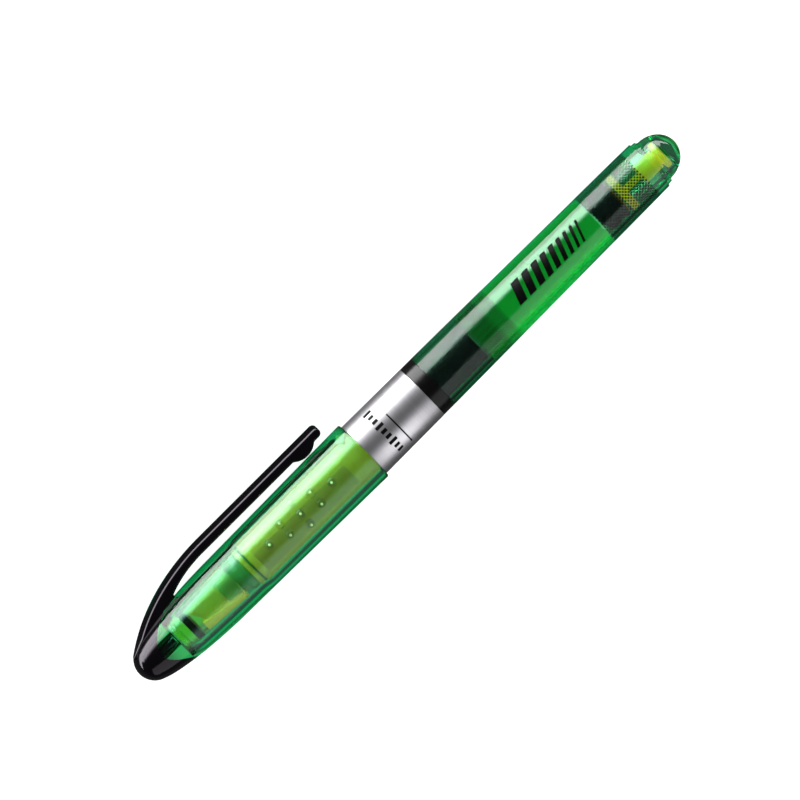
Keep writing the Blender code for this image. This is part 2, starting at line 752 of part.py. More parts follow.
def main():
    clear_scene()
    roll = roll_to_rest()
    middle_y = (clip_side_reach(roll) - CAP_MOUTH_R) / 2
    pen = add_empty("pen_axis", (0, middle_y * MM, CAP_MOUTH_R * MM))
    pen.rotation_euler = (math.radians(90) + roll, 0, 0)
    cap = add_empty("cap_slide", (0, 0, 0), pen)
    hinge = point(FLEXURE, FLEXURE_HEIGHT)

    make_cap_shell(cap)
    make_clip_base(cap)
    make_clip_arm(cap, hinge)
    make_cap_inner_seal(cap)
    make_chisel_nib(pen)
    make_nib_holder(pen)
    make_seal_ring(pen)
    make_grip_section(pen)
    make_ink_collector(pen)
    make_feed_wick(pen)
    make_barrel(pen)
    make_sleeves(pen)
    make_ink_fill(pen)
    make_rear_stopper(pen)
    make_rear_core(pen)
    make_end_plug(pen)


main()
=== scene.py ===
import json
import math

import bmesh
import bpy
from mathutils import Matrix, Vector


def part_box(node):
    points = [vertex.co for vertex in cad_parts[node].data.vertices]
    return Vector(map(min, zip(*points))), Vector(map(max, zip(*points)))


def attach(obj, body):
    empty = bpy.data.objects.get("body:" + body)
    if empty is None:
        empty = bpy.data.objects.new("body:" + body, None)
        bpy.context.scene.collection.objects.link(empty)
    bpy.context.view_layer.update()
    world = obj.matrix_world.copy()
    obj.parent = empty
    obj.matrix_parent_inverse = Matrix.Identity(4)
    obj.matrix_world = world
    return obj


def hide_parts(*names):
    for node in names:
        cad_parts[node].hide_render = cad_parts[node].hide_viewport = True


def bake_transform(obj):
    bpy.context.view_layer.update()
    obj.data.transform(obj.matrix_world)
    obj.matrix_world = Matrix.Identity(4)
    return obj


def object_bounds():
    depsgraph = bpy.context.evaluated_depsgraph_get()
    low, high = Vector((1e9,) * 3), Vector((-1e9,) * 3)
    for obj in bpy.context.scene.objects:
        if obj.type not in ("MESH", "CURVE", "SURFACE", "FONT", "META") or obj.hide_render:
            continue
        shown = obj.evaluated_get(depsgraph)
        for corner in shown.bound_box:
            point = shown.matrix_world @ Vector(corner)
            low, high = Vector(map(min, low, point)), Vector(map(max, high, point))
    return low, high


# Looks of a capped liquid-ink highlighter lying on its cap's rim and on its clip.
# Shapes are drawn in the pen's own coordinates, in millimetres: a station is a distance from the cap's
# tip along the pen, a height is a distance from the axis towards the clip, and across is square to both.

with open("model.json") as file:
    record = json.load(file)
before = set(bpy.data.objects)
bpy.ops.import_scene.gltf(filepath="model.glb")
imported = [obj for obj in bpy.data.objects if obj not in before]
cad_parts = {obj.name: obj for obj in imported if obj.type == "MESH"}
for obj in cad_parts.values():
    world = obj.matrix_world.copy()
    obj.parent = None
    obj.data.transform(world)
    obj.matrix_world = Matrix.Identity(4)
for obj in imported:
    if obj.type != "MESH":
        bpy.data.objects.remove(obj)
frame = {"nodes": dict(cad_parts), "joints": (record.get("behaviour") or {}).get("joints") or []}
cad_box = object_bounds()

MM = 0.001
ROUND_STEPS = 128
INNER_STEPS = 96
SHARP_DEG = 32
JOINT_SHARP_DEG = 30  # where small parts run into a larger one
CAD_GAP = 0.3  # between CAD nodes that touch on the real pen
FINE = 0.01  # the smallest gap between two pieces that look as if they touch


# ---------- the pen's place in the frame

def set_at(place, x, y, z):
    """The matrix of something at a place, with its axes along three directions."""
    return Matrix.Translation(place) @ Matrix((x, y, z)).transposed().to_4x4()


barrel_low, barrel_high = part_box("barrel")
AXIS = (barrel_low + barrel_high) / 2
TIP_X = cad_box[1].x
HINGE = Vector(next(j for j in frame["joints"] if j["name"] == "clip_flex")["pos_m"])
TO_CLIP = Vector((0, HINGE.y - AXIS.y, HINGE.z - AXIS.z)).normalized()
TO_TAIL = Vector((-1, 0, 0))
TO_SIDE = TO_TAIL.cross(TO_CLIP)
PEN = set_at(Vector((TIP_X, AXIS.y, AXIS.z)), -TO_TAIL, TO_SIDE, TO_CLIP)
INTO_PEN = PEN.inverted()


def stations(node):
    """Where a CAD node starts and ends along the pen."""
    low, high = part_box(node)
    return (TIP_X - high.x) / MM, (TIP_X - low.x) / MM


def reach(node, start=0.0, end=math.inf):
    """The greatest radius of a CAD node between two stations."""
    slack = 0.01
    local = [INTO_PEN @ v.co / MM for v in frame["nodes"][node].data.vertices]
    return max(math.hypot(p.y, p.z) for p in local if start - slack <= -p.x <= end + slack)


CAP_MOUTH = stations("cap_shell")[1]
SEAL_START, SEAL_MOUTH = stations("cap_inner_seal")
NIB_TIP, NIB_END = stations("chisel_nib")
HOLDER_FRONT, HOLDER_END = stations("nib_holder")
GRIP_FRONT, GRIP_END = stations("grip_section")
SEAL_RING = sum(stations("seal_ring")) / 2
COLLECTOR_FRONT, COLLECTOR_END = stations("ink_collector")
BARREL_NECK, BARREL_END = stations("barrel")
BAND_START, BAND_END = stations("metal_band")
RING_START, RING_END = stations("trim_ring")
INK_START, INK_END = stations("ink_fill")
STOPPER_START, STOPPER_END = stations("rear_stopper")
CORE_START, CORE_END = stations("rear_core")
PLUG_START, PEN_LENGTH = stations("end_plug")
CLIP_END = stations("clip_arm")[1]

CAP_MOUTH_R = reach("cap_shell")
BARREL_START = RING_END + CAD_GAP
BARREL_START_R = reach("barrel", BARREL_START)
BARREL_END_R = reach("barrel", BARREL_END)


# ---------- outlines

def bezier(points, steps):
    """The points of a cubic curve from points[0] to points[3], both ends included."""
    curve = []
    for step in range(steps + 1):
        t = step / steps
        weights = ((1 - t) ** 3, 3 * t * (1 - t) ** 2, 3 * t * t * (1 - t), t ** 3)
        curve.append(tuple(sum(w * p[axis] for w, p in zip(weights, points)) for axis in (0, 1)))
    return curve


def arc(centre, radius, first_deg, last_deg, steps):
    angles = [math.radians(first_deg + (last_deg - first_deg) * i / steps) for i in range(steps + 1)]
    return [(centre[0] + radius * math.cos(a), centre[1] + radius * math.sin(a)) for a in angles]


def tube(start, end, bore, front_r, rear_r=None):
    """A ring's outline, from its bore out and back."""
    return [(start, bore), (start, front_r), (end, rear_r or front_r), (end, bore)]


def lerp(a, b, share):
    return a + (b - a) * share


def value_at(points, station):
    """The height of a polyline of rising stations at one station."""
    for (s0, h0), (s1, h1) in zip(points, points[1:]):
        if s0 <= station <= s1:
            return h0 + (h1 - h0) * (station - s0) / (s1 - s0)
    return points[-1][1] if station > points[-1][0] else points[0][1]


def rounded(before, here, after, radius, steps):
    """The points that round off one corner, which take up at most 0.45 of each side."""
    here = Vector(here)
    back, on = Vector(before) - here, Vector(after) - here
    first = here + back.normalized() * min(radius, back.length * 0.45)
    last = here + on.normalized() * min(radius, on.length * 0.45)
    shares = [step / steps for step in range(steps + 1)]
    return [first * (1 - t) ** 2 + here * 2 * t * (1 - t) + last * t * t for t in shares]


def softened(outline, radius, closed=False, steps=3):
    """The same outline with its corners rounded, as a moulding or turning has them."""
    tiny, nearly_straight = 1e-6, math.radians(165)
    result = []
    for i, here in enumerate(outline):
        before, after = outline[i - 1], outline[(i + 1) % len(outline)]
        back, on = Vector(before) - Vector(here), Vector(after) - Vector(here)
        at_end = not closed and i in (0, len(outline) - 1)
        if at_end or min(back.length, on.length) < tiny or back.angle(on) > nearly_straight:
            result.append(here)
        else:
            result += [tuple(p) for p in rounded(before, here, after, radius, steps)]
    return result


# ---------- meshes

def point(station, height, across=0.0):
    return Vector((-station * MM, across * MM, height * MM))


def outward(angle):
    """The direction away from the axis, at an angle turned from the camera's side towards the clip."""
    return Vector((0, math.cos(angle), math.sin(angle)))


def spun(outline, steps=ROUND_STEPS, ring=False):
    """A body of revolution about the pen's axis. A ring's outline closes on itself."""
    bm = bmesh.new()
    verts = [bm.verts.new(point(s, r)) for s, r in outline]
    edges = [bm.edges.new(pair) for pair in zip(verts, verts[1:])]
    if ring:
        edges.append(bm.edges.new((verts[-1], verts[0])))
    bmesh.ops.spin(
        bm, geom=verts + edges, cent=(0, 0, 0), axis=(1, 0, 0), angle=math.tau, steps=steps, use_merge=True
    )
    bmesh.ops.remove_doubles(bm, verts=bm.verts, dist=1e-8)
    return bm


def close_body(bm, loops):
    """Adds the faces of a closed body through loops of the same number of vertices."""
    count = len(loops[0])
    for first, second in zip(loops, loops[1:]):
        for i in range(count):
            j = (i + 1) % count
            bm.faces.new((first[i], first[j], second[j], second[i]))
    bm.faces.new(list(reversed(loops[0])))
    bm.faces.new(loops[-1])


def lofted(sections):
    """A closed body through sections, each a loop of the same number of points."""
    bm = bmesh.new()
    close_body(bm, [[bm.verts.new(p) for p in section] for section in sections])
    return bm


def slab(outline, half_width):
    """A closed outline of stations and heights, given a width."""
    return lofted([[point(s, h, across) for s, h in outline] for across in (half_width, -half_width)])


def wrap(bm, path, width, lift, thickness, radius_at):
    """Adds a thin strip that follows a path of stations and angles round a tapering tube."""
    loops = []
    for station, angle in path:
        low = radius_at(station) + lift
        high = low + thickness
        corners = []
        for side, radius in ((-0.5, low), (0.5, low), (0.5, high), (-0.5, high)):
            corners.append(bm.verts.new(point(station + side * width, 0) + outward(angle) * radius * MM))
        loops.append(corners)
    close_body(bm, loops)


def diamond(bm, station, angle, half, lift, radius_at):
    """Adds a thin diamond on a tube, its corners along and round the pen."""
    low, high = [], []
    for along, round_ in ((1, 0), (0, 1), (-1, 0), (0, -1)):
        s = station + along * half
        radius = radius_at(s) + lift
        out = outward(angle + round_ * half / radius)
        low.append(bm.verts.new(point(s, 0) + out * radius * MM))
        high.append(bm.verts.new(point(s, 0) + out * (radius + DIAMOND_THICKNESS) * MM))
    close_body(bm, (high, low))


def add_object(name, bm, finish=None, sharp_deg=SHARP_DEG):
    """Turns a bmesh in pen coordinates into an object in the frame's coordinates."""
    bmesh.ops.recalc_face_normals(bm, faces=bm.faces)
    bmesh.ops.transform(bm, matrix=PEN, verts=bm.verts)
    mesh = bpy.data.meshes.new(name)
    bm.to_mesh(mesh)
    bm.free()
    if finish is not None:
        mesh.materials.append(finish.material)
    mesh.shade_smooth()
    mesh.set_sharp_from_angle(angle=math.radians(sharp_deg))
    obj = bpy.data.objects.new(name, mesh)
    bpy.context.scene.collection.objects.link(obj)
    return obj


def turned(name, outline, finish, soft, steps=INNER_STEPS, ring=False):
    """An object turned about the pen's axis, with soft corners."""
    return add_object(name, spun(softened(outline, soft, closed=ring), steps, ring), finish)


def combined(obj, operation, other, sharp_deg=SHARP_DEG):
    """Applies a Boolean with another object, which is then removed."""
    modifier = obj.modifiers.new("Combine", "BOOLEAN")
    modifier.operation = operation
    modifier.object = other
    modifier.solver = "EXACT"
    graph = bpy.context.evaluated_depsgraph_get()
    mesh = bpy.data.meshes.new_from_object(obj.evaluated_get(graph))
    obj.modifiers.clear()
    old = obj.data
    obj.data = mesh
    bpy.data.meshes.remove(old)
    bpy.data.objects.remove(other, do_unlink=True)
    mesh.shade_smooth()
    mesh.set_sharp_from_angle(angle=math.radians(sharp_deg))
    return obj


def placed(obj, body, slot, *nodes):
    """Rides a piece on its body and hides the CAD nodes that it stands for. Its slot, a finish's name, is
    not used.
    """
    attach(obj, body)
    if nodes:
        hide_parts(*nodes)
    return obj


# ---------- materials

def add_node(tree, kind, inputs=None, **settings):
    """Adds a node. An input is given by its name or number, as a value or as another node's output."""
    node = tree.nodes.new("ShaderNode" + kind)
    for setting, value in settings.items():
        setattr(node, setting, value)
    for key, value in (inputs or {}).items():
        if isinstance(value, bpy.types.NodeSocket):
            tree.links.new(value, node.inputs[key])
        else:
            node.inputs[key].default_value = value
    return node


def ranged(tree, value, start, end, first, last, interpolation="LINEAR"):
    """Maps a value from between start and end to between first and last."""
    inputs = {"Value": value, "From Min": start, "From Max": end, "To Min": first, "To Max": last}
    return add_node(tree, "MapRange", inputs, interpolation_type=interpolation).outputs["Result"]


class Finish:
    """A Principled material whose colour, roughness and bump vary with noise in the piece's own space.

    colour is two colours, roughness two values and bump a height in metres, each followed by its noise's
    scale and, where that isn't 3, its detail. Other arguments name the shader's own sockets.
    """

    def __init__(self, name, colour, roughness=None, bump=None, stretch=(1, 1, 1), **sockets):
        self.material = bpy.data.materials.new(name)
        self.material.use_nodes = True
        self.tree = self.material.node_tree
        self.output = self.tree.nodes["Material Output"]
        self.shader = self.tree.nodes["Principled BSDF"]
        own_space = add_node(self.tree, "TexCoord").outputs["Object"]
        mapping = add_node(self.tree, "Mapping", {"Vector": own_space, "Scale": stretch})
        self.place = mapping.outputs["Vector"]
        self.vary_colour(*colour)
        if roughness:
            self.vary_roughness(*roughness)
        if bump:
            self.add_bump(*bump)
        for label, value in sockets.items():
            self.shader.inputs[label.replace("_", " ")].default_value = value

    def noise(self, scale, detail=3.0):
        inputs = {"Vector": self.place, "Scale": scale, "Detail": detail}
        return add_node(self.tree, "TexNoise", inputs).outputs["Fac"]

    def vary_colour(self, first, second, *noise):
        ramp = add_node(self.tree, "ValToRGB", {"Fac": self.noise(*noise)})
        for element, position, colour in zip(ramp.color_ramp.elements, (0.35, 0.65), (first, second)):
            element.position = position
            element.color = (*colour, 1)
        self.tree.links.new(ramp.outputs["Color"], self.shader.inputs["Base Color"])

    def vary_roughness(self, low, high, *noise):
        spread = ranged(self.tree, self.noise(*noise), 0.3, 0.7, low, high)
        self.tree.links.new(spread, self.shader.inputs["Roughness"])

    def add_bump(self, height, *noise):
        inputs = {"Height": self.noise(*noise), "Strength": 1.0, "Distance": height}
        relief = add_node(self.tree, "Bump", inputs)
        self.tree.links.new(relief.outputs["Normal"], self.shader.inputs["Normal"])

    def glowing(self, colour, strength):
        """A fixed emission, whatever light falls on the piece. On the lime parts and the nib it is painted
        glow, partly fluorescent dye and partly light that the lamps don't bring inside the pen; on the dot
        tips it is a painted highlight; on the floor it is the even white.
        """
        self.shader.inputs["Emission Color"].default_value = (*colour, 1)
        self.shader.inputs["Emission Strength"].default_value = strength
        return self

    def absorbing(self, colour, density):
        """Clear plastic and ink take more of the light the further it goes through them."""
        volume = add_node(self.tree, "VolumeAbsorption", {"Color": (*colour, 1), "Density": density})
        self.tree.links.new(volume.outputs["Volume"], self.output.inputs["Volume"])
        return self


PLASTIC_IOR = 1.49
INK_IOR = 1.36
GLOSS_IOR = 1.5
DRAWN = (0.25, 1, 1)  # noise drawn out along a moulded tube

# Polystyrene tinted green, glossy, with the faint waves that a moulded tube has.
CLEAR_GREEN = Finish(
    "clear_green_plastic",
    colour=((0.93, 1.0, 0.96), (0.89, 1.0, 0.94), 220),
    roughness=(0.015, 0.04, 900),
    bump=(5e-7, 260, 2),
    stretch=DRAWN,
    Transmission_Weight=1.0,
    IOR=PLASTIC_IOR,
).absorbing((0.0, 0.90, 0.58), 250)

# The same plastic in the barrel, whose wall is thicker and deeper in colour.
BARREL_GREEN = Finish(
    "barrel_green_plastic",
    colour=((0.92, 1.0, 0.94), (0.88, 1.0, 0.92), 220),
    roughness=(0.015, 0.04, 900),
    bump=(5e-7, 260, 2),
    stretch=DRAWN,
    Transmission_Weight=1.0,
    IOR=PLASTIC_IOR,
).absorbing((0.0, 0.90, 0.55), 270)

# Slightly milky lime plastic of the grip, which scatters part of the light, with a faint painted glow.
LIME_CLEAR = Finish(
    "lime_translucent_plastic",
    colour=((0.88, 0.98, 0.26), (0.82, 0.96, 0.22), 300),
    roughness=(0.06, 0.12, 1200),
    bump=(6e-7, 1500, 3),
    Transmission_Weight=0.8,
    IOR=PLASTIC_IOR,
).absorbing((0.90, 0.98, 0.20), 420).glowing((1.0, 0.80, 0.08), 0.045)

# Clear plastic of the cap's inner cup, with a breath of lime and a very faint painted glow.
CUP_CLEAR = Finish(
    "pale_lime_clear_plastic",
    colour=((0.94, 1.0, 0.76), (0.90, 1.0, 0.70), 300),
    roughness=(0.02, 0.06, 1100),
    bump=(5e-7, 700, 3),
    Transmission_Weight=0.95,
    IOR=PLASTIC_IOR,
).absorbing((0.86, 1.0, 0.22), 460).glowing((0.8, 1.0, 0.10), 0.010)

# Half-clear green plastic of the nose cone.
HOLDER_GREEN = Finish(
    "nose_cone_green_plastic",
    colour=((0.26, 0.72, 0.26), (0.20, 0.66, 0.22), 400),
    roughness=(0.10, 0.20, 1200),
    bump=(6e-7, 900, 3),
    stretch=(0.5, 1, 1),
    Transmission_Weight=0.6,
    IOR=PLASTIC_IOR,
)

# Polished black moulding with a hint of violet, very faint orange peel and fine handling marks.
BLACK_GLOSS = Finish(
    "black_gloss_plastic",
    colour=((0.0006, 0.0003, 0.0007), (0.0014, 0.0008, 0.0015), 260),
    roughness=(0.08, 0.16, 1400, 5),
    bump=(1.0e-6, 700, 3),
    IOR=GLOSS_IOR,
    Specular_Tint=(0.96, 0.88, 1.0, 1),
)

# Duller black of the ring, the stopper and the collector.
BLACK_SATIN = Finish(
    "black_satin_plastic",
    colour=((0.0008, 0.0006, 0.0008), (0.0018, 0.0013, 0.0016), 500),
    roughness=(0.18, 0.28, 1600, 5),
    bump=(2e-6, 1800, 4),
    IOR=GLOSS_IOR,
    Specular_IOR_Level=0.42,
)

# Satin metal, turned: its fine scratches run round the band.
SILVER = Finish(
    "silver_metal",
    colour=((0.41, 0.40, 0.42), (0.44, 0.43, 0.45), 2600, 5),
    roughness=(0.40, 0.44, 3200, 5),
    bump=(1.2e-7, 5200, 4),
    stretch=(1, 0.02, 0.02),
    Metallic=1.0,
)

# Bonded fibre soaked with ink: grain along the nib, and a painted glow, partly for its fluorescent ink and
# partly for light that doesn't reach inside the cap.
FIBRE = Finish(
    "nib_fibre",
    colour=((0.40, 0.52, 0.03), (0.56, 0.70, 0.05), 5200, 5),
    roughness=(0.6, 0.85, 3000),
    bump=(1.0e-5, 6000, 4),
    stretch=(0.06, 1, 1),
    Subsurface_Weight=0.15,
    Subsurface_Scale=0.0004,
).glowing((1.0, 0.85, 0.05), 0.08)

RUBBER = Finish(
    "seal_rubber",
    colour=((0.0, 0.16, 0.05), (0.0, 0.22, 0.07), 900),
    roughness=(0.42, 0.6, 2000),
    bump=(6e-6, 2600, 4),
)

INK = Finish(
    "green_ink",
    colour=((0.90, 1.0, 0.92), (0.84, 1.0, 0.88), 200),
    Transmission_Weight=1.0,
    IOR=INK_IOR,
    Roughness=0.0,
).absorbing((0.0, 0.86, 0.50), 480)

# Solid lime plastic of the core and of the painted glint in the cup, with a strong painted glow.
LIME_SOLID = Finish(
    "lime_plastic",
    colour=((0.60, 0.72, 0.03), (0.68, 0.78, 0.05), 420),
    roughness=(0.25, 0.38, 1300),
    bump=(6e-6, 1500, 4),
    IOR=PLASTIC_IOR,
    Subsurface_Weight=0.3,
    Subsurface_Scale=0.0006,
).glowing((1.0, 0.60, 0.02), 0.34)

# Painted highlight on the grip's domes: a pale, glowing lime in place of the lamps' glints.
PAINTED_DOT_HIGHLIGHT = Finish(
    "painted_dot_highlight_lime",
    colour=((0.80, 0.90, 0.50), (0.88, 0.95, 0.60), 2000),
    roughness=(0.06, 0.12, 2400),
    bump=(2e-7, 3000, 3),
    IOR=PLASTIC_IOR,
).glowing((0.9, 1.0, 0.60), 0.45)

# Dark green varnish of the barrel's crosshatch.
LATTICE = Finish(
    "dark_green_varnish",
    colour=((0.0005, 0.005, 0.003), (0.0010, 0.010, 0.005), 900),
    roughness=(0.08, 0.18, 2400),
    bump=(1e-6, 3000, 3),
    IOR=PLASTIC_IOR,
)

PRINT = Finish(
    "black_print",
    colour=((0.0006, 0.0010, 0.0007), (0.0016, 0.0022, 0.0016), 1200),
    roughness=(0.34, 0.50, 2600),
    bump=(1e-6, 4000, 4),
    Specular_IOR_Level=0.12,
)


# ---------- cap

NOSE_R = 4.15
NOSE_END = 3.3
NOSE_STEPS = 20
SHOULDER = ((NOSE_END, 4.10), (5.4, 4.92), (12.5, 6.27), (24.0, 6.35))
LIP_ROUND = 0.35
CAP_BORE_R = 5.2
PIP_DEPTH_R = 5.55
CAP_BORE_START = 30.0
CHAMBER_START = 9.9
CHAMBER_FRONT_R = 3.45
CHAMBER_REAR_R = 4.7
POST_START = 0.8
POST_R = 0.95
POST_GAP = 0.15

COVER_WALL = 0.7
COVER_REACH = 14.5  # nothing of the end cover's skin lies beyond
COVER_TOP_END = 11.5
COVER_BOTTOM_END = 10.3
WINDOW_APEX = (5.6, -0.7)
WINDOW_UPPER = ((5.6, 1.2), (7.8, 3.9), (COVER_TOP_END, 4.8))
WINDOW_LOWER = ((5.6, -2.2), (7.5, -3.6), (COVER_BOTTOM_END, -5.3))
CUTTER_REACH = CAP_MOUTH_R + 2


def cap_outline(inset, end):
    """The cap's outside from the axis to a station, moved inwards by inset."""
    last_angle = math.acos((NOSE_R - NOSE_END) / NOSE_R)
    radius = NOSE_R - inset
    angles = [last_angle * step / NOSE_STEPS for step in range(NOSE_STEPS)]
    nose = [(NOSE_R - radius * math.cos(angle), radius * math.sin(angle)) for angle in angles]
    shoulder = [(s, r - inset) for s, r in bezier(SHOULDER, 30)]
    whole = nose + shoulder + [(CAP_MOUTH, CAP_MOUTH_R - inset)]
    kept = [p for p in whole if p[0] < end - 1e-6]
    return kept + [(end, value_at(whole, end))]


def window_body(inset):
    """What lies behind the end cover's edge, seen square to the clip: the two side windows run into it."""
    apex = (WINDOW_APEX[0] + inset, WINDOW_APEX[1])
    upper = [(s + inset, h - inset) for s, h in WINDOW_UPPER]
    lower = [(s + inset, h + inset) for s, h in WINDOW_LOWER]
    behind = COVER_REACH + 3
    corners = [(upper[2][0], CUTTER_REACH), (behind, CUTTER_REACH)]
    corners += [(behind, -CUTTER_REACH), (lower[2][0], -CUTTER_REACH)]
    bottom = bezier((apex, *lower), 24)
    outline = bezier((apex, *upper), 24) + corners + list(reversed(bottom[1:]))
    return add_object("window_cutter", slab(outline, CUTTER_REACH))


def make_cap_body():
    """Clear cap: flush windows at the nose, a chamber round the nib, a bore over the grip and a lip."""
    outer = cap_outline(0, CAP_MOUTH - LIP_ROUND)
    lip = arc((CAP_MOUTH - LIP_ROUND, outer[-1][1] - LIP_ROUND), LIP_ROUND, 90, 0, 6)
    recess_r, recess_start = POST_R + POST_GAP, COVER_WALL + 0.2
    flare, flare_length = 0.25, 0.4
    throat, throat_length = 0.75, 3.0
    half_step = 1.2
    inside = [
        (CAP_MOUTH, CAP_BORE_R + flare),
        (CAP_MOUTH - flare_length, CAP_BORE_R),
        (CAP_BORE_START + half_step, CAP_BORE_R),
        (CAP_BORE_START - half_step, CHAMBER_REAR_R),
        (CHAMBER_START + throat_length, CHAMBER_FRONT_R + throat),
        (CHAMBER_START, CHAMBER_FRONT_R),
        (CHAMBER_START, recess_r),
        (recess_start, recess_r),
        (recess_start, 0),
    ]
    cap = add_object("cap_body", spun(outer[:-1] + lip + softened(inside, 0.12)), CLEAR_GREEN)
    proud = cap_outline(-1.0, COVER_REACH)
    under = cap_outline(COVER_WALL + FINE, COVER_REACH)
    recess = add_object("cover_recess", spun(proud + list(reversed(under))))
    combined(recess, "DIFFERENCE", window_body(FINE))
    combined(cap, "DIFFERENCE", recess)
    placed(cap, "cap", "clear_green_plastic", "cap_shell")


# ---------- end cover and clip

CLIP_OUTER = ((1.4, 3.2), (6.3, 6.95), (14.3, 10.65), (26.0, 10.75))
CLIP_INNER = ((15.2, 6.1), (17.6, 7.1), (20.8, 7.88), (25.0, 7.9))
CLIP_ROOT_WIDTH = 4.6
CLIP_END_WIDTH = 4.2
CLIP_CORNER = 1.0
CLIP_RIDGE = 1.22  # how far the bar's side stands below its crowned back
CORNER_RADII = (0.42, 0.44, 0.6, 0.6, 0.44, 0.42)
BURIED = 2.65  # the height of the bar's underside inside the end cover
BUMP_CENTRE = 52.4
BUMP_HALF = 2.8
BUMP_DEPTH = 1.08
BUMP_POWER = 2.2
ROOT_STEP = 0.25
ROOT_STOPS = 99
SHAFT_STOPS = 110


def rounded_section(station, low, high, half_width):
    """A loop across the clip's bar: flat sides, a narrow ridge along each and a crowned back."""
    side = high - min(CLIP_RIDGE, (high - low) * 0.42)
    crown = high - (high - side) * 0.06
    half_crown = half_width * 0.25
    right = [(half_width, low), (half_width, side), (half_crown, crown)]
    corners = right + [(-across, height) for across, height in reversed(right)]
    loop = []
    for i, radius in enumerate(CORNER_RADII):
        after = corners[(i + 1) % len(corners)]
        loop += [point(station, p.y, p.x) for p in rounded(corners[i - 1], corners[i], after, radius, 6)]
    return loop


def make_clip_moulding():
    """One black moulding: the cover over the cap's nose, its inner post and the springy bar of the clip."""
    outer_curve = bezier(CLIP_OUTER, 60)
    inner_curve = bezier(CLIP_INNER, 40)
    root = CLIP_INNER[0][0]
    shaft = CLIP_END - CLIP_CORNER
    stops = [CLIP_OUTER[0][0] + ROOT_STEP * i for i in range(ROOT_STOPS)]
    stops += [lerp(stops[-1], shaft, i / SHAFT_STOPS) for i in range(1, SHAFT_STOPS + 1)]
    stops += [shaft + CLIP_CORNER * math.sin(math.radians(15 * i)) for i in range(1, 6)]
    sections = []
    for s in stops:
        top = value_at(outer_curve, s)
        bottom = value_at(inner_curve, s) if s > root else BURIED
        if abs(s - BUMP_CENTRE) < BUMP_HALF:
            bottom -= BUMP_DEPTH * (1 - abs((s - BUMP_CENTRE) / BUMP_HALF) ** BUMP_POWER)
        share = min(max((s - root) / (CLIP_END - root), 0), 1)
        half_width = lerp(CLIP_ROOT_WIDTH, CLIP_END_WIDTH, share) / 2
        over = max(s - shaft, 0)
        shrink = CLIP_CORNER - math.sqrt(max(CLIP_CORNER ** 2 - over ** 2, 0))
        sections.append(rounded_section(s, bottom + shrink, top - shrink, half_width - shrink))
    bar = add_object("clip_bar", lofted(sections), BLACK_GLOSS)

    nose = cap_outline(0, COVER_REACH)
    nose.append((nose[-1][0], 0))
    cover = add_object("clip_moulding", spun(nose), BLACK_GLOSS)
    combined(cover, "DIFFERENCE", window_body(0))
    combined(cover, "UNION", bar)

    step = COVER_TOP_END
    over = [(s, r) for s, r in cap_outline(-0.06, root + 4) if s > step]
    core = cap_outline(COVER_WALL, step) + [(step, over[0][1])] + over + [(over[-1][0], 0)]
    combined(cover, "DIFFERENCE", add_object("cover_core", spun(core)), JOINT_SHARP_DEG)
    post = tube(POST_START, CHAMBER_START - 0.2, 0, POST_R)
    combined(cover, "UNION", turned("cover_post", post, None, 0.2, 48), JOINT_SHARP_DEG)

    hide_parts("clip_base", "clip_arm")
    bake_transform(cover)


# ---------- inside the cap

def make_seal_cup():
    """Inner cup of the cap, with a bead round its mouth."""
    front_r = reach("cap_inner_seal", SEAL_START, SEAL_START)
    mouth_r = reach("cap_inner_seal")
    groove_r = front_r - 0.15
    floor = SEAL_START + 2.7
    outline = [
        (SEAL_START, 0),
        (SEAL_START, front_r),
        (SEAL_START + 0.5, front_r + 0.05),
        (SEAL_START + 0.7, groove_r),
        (SEAL_START + 1.1, groove_r),
        (SEAL_START + 1.3, front_r + 0.08),
        (SEAL_MOUTH, mouth_r),
        (SEAL_MOUTH, mouth_r - 0.45),
        (SEAL_MOUTH - 0.6, mouth_r - 0.62),
        (floor, front_r - 0.55),
        (floor, 0),
    ]
    cup = turned("seal_cup", outline, CUP_CLEAR, 0.12)
    placed(cup, "cap", "clear_lime_plastic", "cap_inner_seal")


def make_seal_pad():
    """Black ring round the cup's closed end, just in front of the nib."""
    start, end = SEAL_START + 2.75, NIB_TIP - 0.2
    outline = [(start, 3.32), (start, 3.5), (end, 3.6), (end, 3.42)]
    placed(turned("seal_pad", outline, BLACK_SATIN, 0.05, ring=True), "cap", "black_satin_plastic")


def make_painted_cup_glint():
    """Painted glint: a glowing lime half shell inside the cup's lower side, in the gap below the nose cone,
    where light through the cap shows lime.
    """
    front, mouth = SEAL_START + 5.4, SEAL_MOUTH - 0.7
    outer_r, inner_r, half_angles = (3.05, 4.1), (2.2, 3.55), (58, 42)  # each in front and at the mouth
    inner_flare = 0.6
    sections, half_turns = 24, 6
    rings = []
    for section in range(sections + 1):
        share = section / sections
        station = lerp(front, mouth, share)
        outer = lerp(*outer_r, share)
        inner = lerp(*inner_r, share ** inner_flare)
        spread = math.radians(lerp(*half_angles, share))
        turns = [math.pi + spread * (i / half_turns - 1) for i in range(2 * half_turns + 1)]
        loop = [point(station, math.cos(turn) * outer, math.sin(turn) * outer) for turn in turns]
        loop += [point(station, math.cos(turn) * inner, math.sin(turn) * inner) for turn in reversed(turns)]
        rings.append(loop)
    placed(add_object("painted_cup_glint", lofted(rings), LIME_SOLID), "cap", "lime_plastic")


def make_cap_pips():
    """Thin diamonds inside the cap's wall near its mouth, for the snaps that click over the grip's ribs."""
    bm = bmesh.new()
    setback, half = 1.9, 1.4
    for angle in (53, 127):
        diamond(bm, CAP_MOUTH - setback, math.radians(angle), half, 0.0, lambda station: PIP_DEPTH_R)
    placed(add_object("cap_pips", bm, HOLDER_GREEN), "cap", "clear_green_plastic")


# ---------- nib and grip

